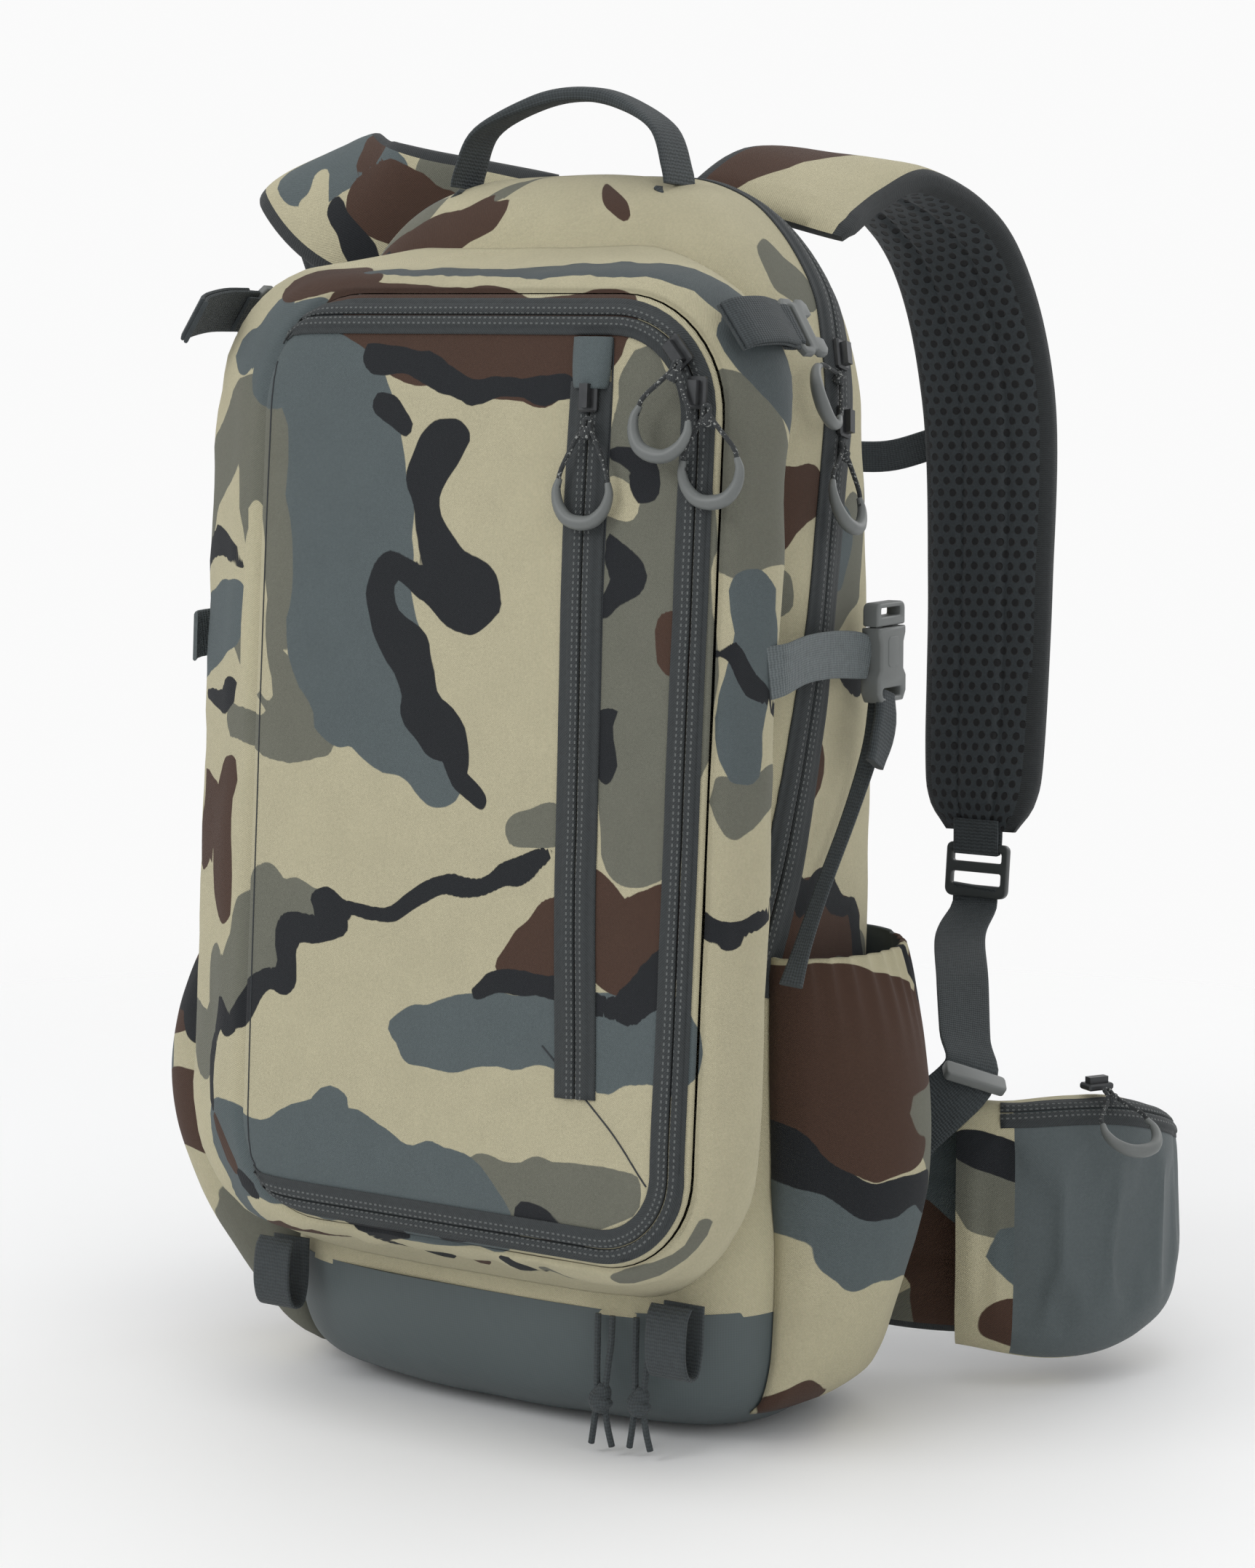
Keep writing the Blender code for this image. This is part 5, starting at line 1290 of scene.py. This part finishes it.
shoulder = dict(
    thickness=0.0135,
    bound=0.0052,
    right=((0.0500, 0.0600, 0.5210, 0.92, -0.20, -0.32, 0.088), (0.0510, 0.0640, 0.5240, 0.92, -0.20, -0.32, 0.088),
           (0.0550, 0.0950, 0.5380, 0.93, 0.00, -0.30, 0.078), (0.0630, 0.1380, 0.5390, 1, 0.05, -0.12, 0.070),
           (0.0770, 0.1860, 0.5080, 1, 0, 0, 0.068), (0.0850, 0.2100, 0.4400, 1, 0.05, 0, 0.068),
           (0.0870, 0.2110, 0.3500, 1, 0, 0, 0.065), (0.0890, 0.2035, 0.2700, 1, 0, 0, 0.062),
           (0.0897, 0.2005, 0.2460, 1, 0, 0, 0.055), (0.0900, 0.1990, 0.2320, 1, 0, 0, 0.036)),
    left=((-0.0700, 0.0670, 0.5040, 0.80, 0.00, 0.50, 0.078), (-0.1150, 0.0600, 0.5140, 0.80, 0.10, 0.55, 0.074),
          (-0.1650, 0.0500, 0.5270, 0.84, 0.20, 0.50, 0.070), (-0.2000, 0.0660, 0.5440, 0.86, 0.29, 0.42, 0.068),
          (-0.2120, 0.1010, 0.5380, 0.88, 0.30, 0.35, 0.068), (-0.2140, 0.1330, 0.4850, 0.90, 0.35, 0.20, 0.068),
          (-0.1980, 0.1560, 0.4050, 0.94, 0.32, 0.10, 0.068), (-0.1560, 0.1760, 0.3100, 0.97, 0.20, 0.05, 0.060),
          (-0.1230, 0.1870, 0.2345, 1, 0.05, 0, 0.046)),
)
strapPatches = dict(
    right=(("tan", (-0.030, 0.02, 0.03), (0.020, 0.03, 0.03), (0.010, 0.10, 0.04), (-0.01, 0.16, 0.04)),
           ("brown", (-0.034, 0.020, 0.016), (-0.016, 0.045, 0.018), (-0.012, 0.066, 0.014)),
           ("brown", (-0.030, 0.075, 0.012), (-0.020, 0.095, 0.010)),
           ("sage", (0.020, 0.020, 0.018), (0.032, 0.050, 0.012)),
           ("sage", (0.006, 0.110, 0.012), (0.026, 0.120, 0.016)),
           ("black", (-0.040, 0.110, 0.008), (-0.020, 0.118, 0.007), (-0.005, 0.132, 0.006)),
           ("slate", (0.020, 0.080, 0.010), (0.034, 0.096, 0.014))),
    left=(("brown", (-0.02, 0.030, 0.024), (0.005, 0.060, 0.022), (0.010, 0.085, 0.020)),
          ("brown", (0.028, 0.110, 0.010), (0.030, 0.125, 0.008)),
          ("slate", (0.025, 0.080, 0.008), (0.022, 0.110, 0.014), (-0.010, 0.135, 0.016)),
          ("black", (-0.034, 0.085, 0.007), (-0.018, 0.092, 0.008), (-0.006, 0.106, 0.007)),
          ("tan", (-0.022, 0.110, 0.010), (-0.006, 0.125, 0.006)),
          ("sage", (0.024, 0.040, 0.010), (0.030, 0.060, 0.010))),
)


def padProfile(path, width, thickness, seed, crown=0.0016, seam=0.0014):
    # across 1 - |s|^5 for the faces, with a flat bound seam along each edge; top row first, then back below
    s = np.concatenate([[-1.0], np.linspace(-0.985, 0.985, 41), [1.0]])
    run = arcLength(path)
    half = width[:, None] / 2
    body = (1 - np.abs(s) ** 5) ** 0.5
    ends = np.minimum(1, np.minimum(run, run[-1] - run) / 0.012)[:, None] ** 0.5
    at = np.stack([s[None] * half, run[:, None] + 0 * s[None]], -1)

    def face(faceSeed):
        bulge = (thickness / 2 - seam + crown * (1 - s**2)) * body * ends
        return seam + bulge + latticeNoise(at, 0.030, faceSeed) * 0.0007 * body

    top, low = face(seed), face(seed + 3)
    # two quilted lines run down the inner face
    for line in (-0.36, 0.36):
        low = low - 0.0016 * np.exp(-((s - line) / 0.055) ** 2) * ends
    upper = np.stack([at[..., 0], top], -1)
    lower = np.stack([at[..., 0], -low], -1)[:, ::-1]
    return np.concatenate([upper, lower], 1), np.concatenate([s, s[::-1]])


def padPart(line, thickness, strokes, seed, bound, swap=False):
    # looks: 0 camouflage, 1 mesh, 2 binding. swap puts the mesh on the outward face.
    path, width = line[:, :3], line[:, 6]
    profile, s = padProfile(path, width, thickness, seed)
    onTop = np.arange(len(s)) < len(s) // 2
    edge = (1 - np.abs(s))[None] * width[:, None] / 2 < bound
    look = np.where(edge, 2, np.where(onTop ^ swap, 0, 1)[None])
    places = np.stack(np.broadcast_arrays(profile[..., 0], arcLength(path)[:, None]), -1)
    return gridPart(carry(path, line[:, 3:6], profile), closeV=True, caps=True, material=look[:-1].ravel(),
                    paint=paintPatches(places, strokes, seed))


def makeShoulderStraps():
    for side in sides:
        line = evenly(smoothPath(shoulder[side], 12), 0.004)
        length = arcLength(line[:, :3])[-1]
        strokes = strapPatches[side] + tuple(scatterStrokes(23, (-0.04, 0.15), (0.04, length), 1.2))
        part = padPart(line, shoulder["thickness"], strokes, 81, shoulder["bound"])
        made = makePiece(f"shoulderStrap_{side}", part, "pack", ["camo", "mesh", "binding"],
                         (f"shoulder_strap_{side}",), smoothAngle=60)


makeShoulderStraps()
print("shoulder straps made")


# Lower webbing, ladder locks and chest strap

lower = dict(ends={"right": (0.0900, 0.1975, 0.2260), "left": (-0.1230, 0.1860, 0.2260)}, width=0.024,
             thickness=0.0018)


def makeLowerWebbing():
    for side, sign in sides.items():
        top = Vector(lower["ends"][side])
        matrix = facing(top, (1, 0, 0), (0, 0.10, 1))
        outer = roundedOutline(-0.0165, 0.0165, -0.0260, 0.0, 0.004, 0.003, 6, 3)
        upperSlot = roundedOutline(-0.0130, 0.0130, -0.0090, -0.0040, 0.001, 0.001, 3, 2)
        lowerSlot = roundedOutline(-0.0130, 0.0130, -0.0200, -0.0140, 0.001, 0.001, 3, 2)
        makePiece(f"ladderLock_{side}", platePart([outer, upperSlot, lowerSlot], 0.0036, matrix, 0.0008),
                  f"ladder_lock_{side}", ["darkPlastic"], (f"ladder_lock_{side}",))
        stations = [
            (top.x, top.y - 0.0035, top.z - 0.0200, 1, 0, 0, lower["width"]),
            (top.x, top.y - 0.0045, top.z - 0.0300, 1, 0, 0, lower["width"]),
            (top.x + sign * 0.006, 0.1680, 0.1860, 0.95, 0.3 * sign, 0, lower["width"]),
            (sign * 0.1200, 0.1250, 0.1740, 0.6, 0.8 * sign, 0.15, 0.024),
            (sign * 0.1400, 0.0900, 0.1560, 0.7, 0.65 * sign, -0.15 * sign, 0.024),
            (sign * 0.1510, 0.0730, 0.1410, 0.75, 0.5 * sign, -0.45 * sign, 0.026),
            (sign * 0.1260, 0.0610, 0.1130, 0.70, 0.15 * sign, -0.6 * sign, 0.028),
            (sign * 0.1070, 0.0590, 0.0800, 0.60, 0.1 * sign, -0.7 * sign, 0.030),
        ]
        # the strap end above the ladder lock is folded round its bar
        fold = ((0.0010, 0.012), (0.0004, -0.001), (-0.0030, -0.0060), (-0.0035, 0.004), (-0.0035, 0.012))
        anchor = [(top.x, top.y + y, top.z + z, 1, 0, 0, lower["width"]) for y, z in fold]
        makePiece(f"shoulderWebbing_{side}", [ribbonPart(stations, lower["thickness"]), ribbonPart(anchor, 0.0014)],
                  "pack", ["webbing"], (f"shoulder_webbing_{side}",))
        matrix = facing((sign * 0.1545, 0.0720, 0.1410), (0.75, 0.5 * sign, -0.45 * sign), (-sign * 0.5, 0.7, 0.5))
        outer = roundedOutline(-0.015, 0.015, -0.0045, 0.0045, 0.002, 0.002, 4, 2)
        makePiece(f"webbingBar_{side}", platePart([outer], 0.0046, matrix, 0.0008), "pack",
                  ["plastic"])


makeLowerWebbing()


sternum = dict(start=(0.0520, 0.2215, 0.4160), middle=(-0.0200, 0.2130, 0.4080), end=(-0.1500, 0.1850, 0.4130),
               buckle=(0.020, 0.0085), width=0.015, thickness=0.0018, sag=0.003)


def makeSternumStrap():
    start, middle, end = (Vector(sternum[name]) for name in ("start", "middle", "end"))
    run = (end - start).normalized()
    matrix = facing(middle, (0, 0, -1), -run)
    makePiece("sternumSocket", socketPart(matrix, *sternum["buckle"]), "pack", ["plastic"],
              ("sternum_buckle_socket",))
    makePiece("sternumPlug", plugPart(matrix, *sternum["buckle"]), "sternum_plug", ["plastic"],
              ("sternum_buckle_plug",))
    for side, first, last, body in (("right", start, middle - run * 0.0235, "sternum_plug"),
                                    ("left", middle + run * 0.0130, end, "pack")):
        lowest = (first + last) / 2 - Vector((0, 0, sternum["sag"]))
        stations = [(*place, 0, 0, 1, sternum["width"]) for place in (first, lowest, last)]
        makePiece(f"sternumStrap_{side}", ribbonPart(stations, sternum["thickness"]), body, ["webbing"],
                  (f"sternum_strap_{side}",))


makeSternumStrap()


# Haul handle: flat sewn feet and a folded, narrower grip

# x, y, z, width and thickness
handle = dict(
    stations=((-0.0555, -0.0185, 0.5330, 0.024, 0.0022), (-0.0540, -0.0180, 0.5400, 0.024, 0.0022),
              (-0.0460, -0.0165, 0.5575, 0.021, 0.0034), (-0.0220, -0.0130, 0.5695, 0.0135, 0.0062),
              (0.0, -0.0120, 0.5730, 0.0130, 0.0064), (0.0220, -0.0130, 0.5695, 0.0135, 0.0062),
              (0.0460, -0.0165, 0.5575, 0.021, 0.0034), (0.0540, -0.0180, 0.5400, 0.024, 0.0022),
              (0.0555, -0.0185, 0.5330, 0.024, 0.0022)),
)


def makeHandle():
    line = evenly(smoothPath(handle["stations"], 8), 0.003)
    turn = np.linspace(0, 2 * np.pi, 24, endpoint=False)
    oval = np.stack([-np.cos(turn), np.sin(turn)], -1)
    oval = np.sign(oval) * np.abs(oval) ** 0.55  # with flattened sides
    grid = carry(line[:, :3], (0, 1, 0), oval[None] * line[:, None, 3:5] / 2)
    makePiece("haulHandle", gridPart(grid, closeV=True, caps=True), "pack", ["webbing"],
              ("haul_handle",))
    feet = []
    for sign in sides.values():
        path = [(sign * (0.0545 + 0.010 * t), -0.0180 - 0.0005 * t, 0.5290 - 0.0075 * t, 0, 1, 0, 0.026)
                for t in (-0.35, 0.2, 0.8, 1.5)]
        feet.append(ribbonPart(path, 0.0020))
    makePiece("handleFeet", feet, "pack", ["webbing"])


makeHandle()


# Tool loops

toolLoop = dict(x=0.1040, width=0.020, thickness=0.0018,
                path=((-0.0900, 0.0680), (-0.0905, 0.0620), (-0.0915, 0.0480), (-0.0950, 0.0390), (-0.1020, 0.0400),
                      (-0.1050, 0.0500), (-0.1035, 0.0640), (-0.1000, 0.0690)))


def makeToolLoops():
    for side, sign in sides.items():
        stations = [(sign * toolLoop["x"], y, z, 1, 0, 0, toolLoop["width"]) for y, z in toolLoop["path"]]
        makePiece(f"toolLoop_{side}", ribbonPart(stations, toolLoop["thickness"], step=0.002), "pack",
                  ["webbing"], (f"tool_loop_{side}",))


makeToolLoops()
print("webbing made")


# Back pad

backPad = dict(halfWidth=0.095, bottom=0.045, top=0.472, front=0.0630, back=0.0780)


def makeBackPad():
    outline = roundedOutline(-backPad["halfWidth"], backPad["halfWidth"], backPad["bottom"], backPad["top"], 0.025,
                             0.055, 9, 30)
    middle = np.array([0.0, (backPad["bottom"] + backPad["top"]) / 2])
    share = np.concatenate([1 - np.linspace(0, 1, 46) ** 1.2, [0.003]])
    share[-2] = 0.02
    flat = middle + (outline - middle)[None] * share[:, None, None]
    rise = np.sqrt(1 - share**7)[:, None]
    thick = backPad["back"] - backPad["front"]
    # a channel down the middle and two across let air through
    groove = np.exp(-(flat[..., 0] / 0.013) ** 2) + 0.7 * np.exp(-((flat[..., 1] - 0.18) / 0.010) ** 2)
    groove = np.minimum(1, groove + 0.7 * np.exp(-((flat[..., 1] - 0.33) / 0.010) ** 2))
    y = backPad["front"] + 0.0015 + (thick - 0.0015) * rise * (1 - 0.42 * groove)
    y = y + latticeNoise(flat, 0.035, 91) * 0.0005
    grid = np.stack([flat[..., 0], y, flat[..., 1]], -1)
    rear = grid[:1] * (1, 0, 1) + (0, backPad["front"] - 0.0005, 0)
    grid = np.concatenate([rear, grid])
    uv = np.concatenate([grid, grid[:, :1]], 1)[..., ::2]
    made = makePiece("backPad", gridPart(grid, closeV=True, caps=True, uv=uv, flip=True), "pack",
                     ["mesh"], ("back_pad",))


makeBackPad()


# Stuffed pieces are blown up a little as cloth, so that they swell and pucker between their seams

filling = dict(pressure=4.0, frames=20, tension=12, bending=0.4, mass=0.25)


def inflate(made, pins, cap):
    # pins holds each point from 0, free, to 1, sewn down. No point moves further than the cap.
    mesh = made.data
    start, moved = np.empty(len(mesh.vertices) * 3), np.empty(len(mesh.vertices) * 3)
    mesh.vertices.foreach_get("co", start)
    group = made.vertex_groups.new(name="sewn")
    for index in np.flatnonzero(pins > 0.01).tolist():
        group.add([index], float(pins[index]), "REPLACE")
    cloth = made.modifiers.new("cloth", "CLOTH")
    cloth.settings.vertex_group_mass = "sewn"
    cloth.settings.mass = filling["mass"]
    cloth.settings.tension_stiffness = cloth.settings.compression_stiffness = filling["tension"]
    cloth.settings.bending_stiffness = filling["bending"]
    cloth.settings.use_pressure = True
    cloth.settings.uniform_pressure_force = filling["pressure"]
    cloth.settings.effector_weights.gravity = 0
    cloth.collision_settings.use_collision = False
    cloth.point_cache.frame_start, cloth.point_cache.frame_end = 1, filling["frames"]
    for number in range(1, filling["frames"] + 1):
        bpy.context.scene.frame_set(number)
    swollen = made.evaluated_get(bpy.context.evaluated_depsgraph_get()).to_mesh()
    swollen.vertices.foreach_get("co", moved)
    shift = (moved - start).reshape(-1, 3)
    size = np.linalg.norm(shift, axis=1, keepdims=True)
    shift *= np.minimum(1, cap / np.maximum(size, 1e-9))
    print(f"{made.name} swelled {1000 * size.max():.1f} mm before its cap")
    made.modifiers.remove(cloth)
    made.vertex_groups.remove(group)
    mesh.vertices.foreach_set("co", start + shift.ravel())
    mesh.update()
    bpy.context.scene.frame_set(1)


# Hip belt, built for the right side and turned over for the left

# first and last are the pouch's ends in degrees round the belt's centre
belt = dict(centre=(0.105, 0.165), radius=0.080, pad=0.011, bottom=0.018, top=0.125, first=-66, last=8,
            deepest=0.031, swell=0.005, bound=0.0050, buckle=(0.030, 0.0100), buckleHeight=0.0520, zipWidth=0.0150)


def beltPoint(angle, radius, height):
    turn = np.radians(angle)
    return np.stack(np.broadcast_arrays(belt["centre"][0] + radius * np.cos(turn),
                                        belt["centre"][1] + radius * np.sin(turn), height), -1)


def beltPocketGrid(shares, turns):
    # a pouch on the belt's curve: share runs along it, turn goes round its section from the belt
    inner = belt["radius"] + belt["pad"] / 2 + 0.0005
    share, turn = np.broadcast_arrays(np.asarray(shares, float), np.asarray(turns, float))
    angle = belt["first"] + (belt["last"] - belt["first"]) * share
    depth = 0.006 + (belt["deepest"] - 0.006) * np.sin(np.pi * np.minimum(1, 0.10 + 0.86 * share)) ** 0.6
    middle = 0.073 - 0.004 * share
    half = (0.059 - 0.018 * share**2) * (1 - 0.06 * np.cos(2 * np.pi * share))
    out = 0.5 - 0.5 * np.sign(np.cos(turn)) * np.abs(np.cos(turn)) ** 0.7
    rise = np.sign(np.sin(turn)) * np.abs(np.sin(turn)) ** 0.55
    return beltPoint(angle, inner + depth * out, middle + half * rise)


beltPatches = (
    ("sage", (0.010, 0.095, 0.016), (0.016, 0.080, 0.014)),
    ("black", (0.006, 0.112, 0.008), (0.020, 0.104, 0.008)),
    ("slate", (0.024, 0.060, 0.014), (0.030, 0.045, 0.010)),
    ("brown", (0.016, 0.030, 0.009), (0.028, 0.024, 0.008)),
    ("sage", (0.050, 0.020, 0.010), (0.070, 0.018, 0.008)),
    ("black", (0.046, 0.012, 0.005), (0.064, 0.010, 0.005)),
)


def makeBelt():
    for side in sides:
        place, flip = sideways(side)
        angles = np.linspace(-98, 24, 45)
        taper = np.maximum(0, (angles + 30) / 54)
        centre = beltPoint(angles, belt["radius"], (belt["bottom"] + belt["top"]) / 2 - 0.010 * taper)
        tall = (belt["top"] - belt["bottom"]) * (1 - 0.45 * taper**2)
        line = evenly(np.column_stack([centre, np.tile((0, 0, 1), (45, 1)), tall]), 0.004)
        strokes = scatterStrokes(27, (-0.06, 0.0), (0.06, 0.18), 1.2)
        part = turnedOver(padPart(line, belt["pad"], strokes, 83, belt["bound"], swap=True), place, flip)
        wing = makePiece(f"beltWing_{side}", part, f"belt_wing_{side}", ["camo", "mesh", "binding"],
                         (f"belt_wing_{side}",), smoothAngle=60)
        # the pouch
        share = np.linspace(0, 1, 56)[:, None]
        turn = np.linspace(0, 2 * np.pi, 96, endpoint=False)[None]
        grid = beltPocketGrid(share, turn)
        grid = rippled(grid[:, ::-1], 0.0011, 93, 0.04)[:, ::-1]
        face = (np.abs(turn - np.pi) < 0.40 * np.pi) & (share[:-1] > 0.17) & (share[:-1] < 0.985)
        look = np.where(np.broadcast_to(face, (55, 96)), 1, 0)
        places = np.stack(np.broadcast_arrays(share * 0.10, grid[..., 2]), -1)
        part = gridPart(place(grid), closeV=True, caps=True, material=look.ravel(), flip=not flip,
                        paint=paintPatches(places, beltPatches if side == "right" else strokes, 85, 0.003))
        pouch = makePiece(f"beltPocket_{side}", part, f"belt_wing_{side}", ["camo", "stretch"],
                          (f"belt_pocket_{side}",))
        # it is sewn down at its back and at both ends
        pins = np.maximum(np.clip(1.6 * np.cos(turn) - 0.2, 0, 1),
                          np.clip(1 - 14 * np.minimum(share, 1 - share), 0, 1))
        inflate(pouch, pins.ravel(), belt["swell"])
        run = place(beltPocketGrid(np.linspace(0.14, 0.93, 50), 0.655 * np.pi))
        hub = place(np.array([*belt["centre"], 0.0]))

        def acrossZip(path):
            away = unit((path - hub) * (1, 1, 0)) + (0, 0, 0.9)
            return np.cross(unit(np.gradient(path, axis=0)), unit(away))

        makeZip(f"beltZip_{side}", run, acrossZip, belt["zipWidth"], pouch, f"belt_wing_{side}")
        # front webbing and its half of the buckle
        stations = [(*beltPoint(angle, belt["radius"], belt["buckleHeight"]), 0, 0, 1, 0.025)
                    for angle in (20, 29, 40, 52, 66)]
        makePiece(f"beltWebbing_{side}", turnedOver(ribbonPart(stations, 0.0018), place, flip), f"belt_wing_{side}",
                  ["webbing"], (f"belt_webbing_{side}",))
    turn = math.radians(76)
    spot = Vector(beltPoint(79, belt["radius"], belt["buckleHeight"]))
    matrix = facing(spot, (0, 0, 1), (-math.sin(turn), math.cos(turn), 0))
    makePiece("beltSocket", socketPart(matrix, *belt["buckle"]), "belt_wing_right", ["plastic"],
              ("belt_buckle_socket",))
    spot = mirrored(beltPoint(71, belt["radius"], belt["buckleHeight"]))
    matrix = facing(spot, (0, 0, 1), (math.sin(turn), math.cos(turn), 0))
    makePiece("beltPlug", plugPart(matrix, *belt["buckle"]), "belt_wing_left", ["plastic"],
              ("belt_buckle_plug",))


makeBelt()
print("belt made")


# Zip pulls: a moulded crescent on a loop of cord

grip = dict(cord=0.0020, halfWidth=0.0128, armTop=0.024, knot=0.0025,
            thick=(0.0013, 0.0021, 0.0028, 0.0031, 0.0028, 0.0021, 0.0013))


def pullFrame(name):
    # origin on the joint's axis, X along the axis, Y up the hanging loop, Z outwards
    joint = joints[f"{name}_swing"]
    origin = np.array(joint["pos_m"])
    x = -np.array(joint["axis"])
    low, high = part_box(name)
    down = (np.array(low) + np.array(high)) / 2 - origin
    down = unit(down - x * (down @ x))
    return np.column_stack([x, -down, np.cross(x, -down)]), origin


def makePull(name, length):
    turn, origin = pullFrame(name)

    def place(points):
        return np.asarray(points, float) @ turn.T + origin

    wide, top = grip["halfWidth"], -(length - grip["armTop"] + 0.004)
    drop = length - 0.0028
    crescent = [(-wide * 0.92, top, 0), (-wide, top - 0.005, 0), (-wide * 0.86, -drop + 0.0062, 0),
                (-wide * 0.50, -drop + 0.0014, 0.0002), (0, -drop, 0.0002), (wide * 0.50, -drop + 0.0014, 0.0002),
                (wide * 0.86, -drop + 0.0062, 0), (wide, top - 0.005, 0), (wide * 0.92, top, 0)]
    makePiece(f"grip_{name}", tubePart(place(crescent), grip["thick"], 14), name, ["plastic"],
              (name,))
    loop = [(-wide * 0.93, top - 0.004, 0), (-wide * 0.88, top + 0.003, 0.0004), (-0.0050, -0.0100, 0.0010),
            (-0.0016, -0.0050, 0.0012), (-0.0012, -0.0012, 0.0008)]
    loop += [(-x, y, z) for x, y, z in loop[::-1]]
    line = smoothPath(place(loop), 8)
    tied = makePiece(f"cord_{name}", gridPart(tubeGrid(line, grip["cord"] / 2, 8), closeV=True, caps=True), name,
                     ["cord"])
    knot = makePiece(f"knot_{name}", bead(place([(0, -0.0068, 0.0012)])[0], grip["knot"]), name,
                     ["cord"])
    float(arcLength(line)[-1])


pullLengths = dict(pocket_pull=0.046, panel_pull_upper=0.042, panel_pull_lower=0.042, main_pull_upper=0.042,
                   main_pull_lower=0.042, belt_pull_right=0.040, belt_pull_left=0.040)
for pullName, pullLength in pullLengths.items():
    makePull(pullName, pullLength)

for nodeName, node in nodes.items():
    look = "metal" if "slider" in nodeName else dict(frame_sheet="framePlastic", frame_stay="alloy").get(nodeName)
    if look:
        node.data.materials.clear()
        node.data.materials.append(finishes[look])
print("pulls made")


# Hem cords: two doubled cords below the compartment, each tied in a knot

hemCord = dict(diameter=0.0028, places={"inner": (0.0700, -0.0985), "outer": (0.0870, -0.0950)})


def makeHemCords():
    for name, (x, y) in hemCord["places"].items():
        turns = [bead((x, y - 0.0035, 0.0245), 0.0052, (0.95, 0.85, 1.2)),
                 bead((x + 0.0006, y - 0.0045, 0.0225), 0.0044, (1.1, 0.9, 0.8), 2.0)]
        knot = makePiece(f"hemKnot_{name}", turns, "pack", ["webbing"], (f"hem_cord_{name}",))
        for index, sign in enumerate((-1, 1)):
            route = [(x + sign * 0.0036, y, 0.0600), (x + sign * 0.0034, y - 0.0008, 0.0480),
                     (x + sign * 0.0026, y - 0.0025, 0.0360), (x + sign * 0.0020, y - 0.0035, 0.0240),
                     (x + sign * 0.0034, y - 0.0036, 0.0130), (x + sign * 0.0052, y - 0.0030, 0.0042)]
            line = smoothPath(route, 8)
            part = gridPart(tubeGrid(line, hemCord["diameter"] / 2, 10), closeV=True, caps=True)
            strand = makePiece(f"hemCord_{name}_{index}", part, "pack", ["webbing"])
            float(arcLength(line)[-1])


makeHemCords()
print("cords made")


# Floor

corners = np.stack(np.meshgrid((-6.0, 0.0, 6.0), (-6.0, 0.0, 6.0), (-0.0002,), indexing="ij"), -1)[:, :, 0]
floor = makePiece("floor", gridPart(corners), "pack", ["floor"])
floor.parent = None
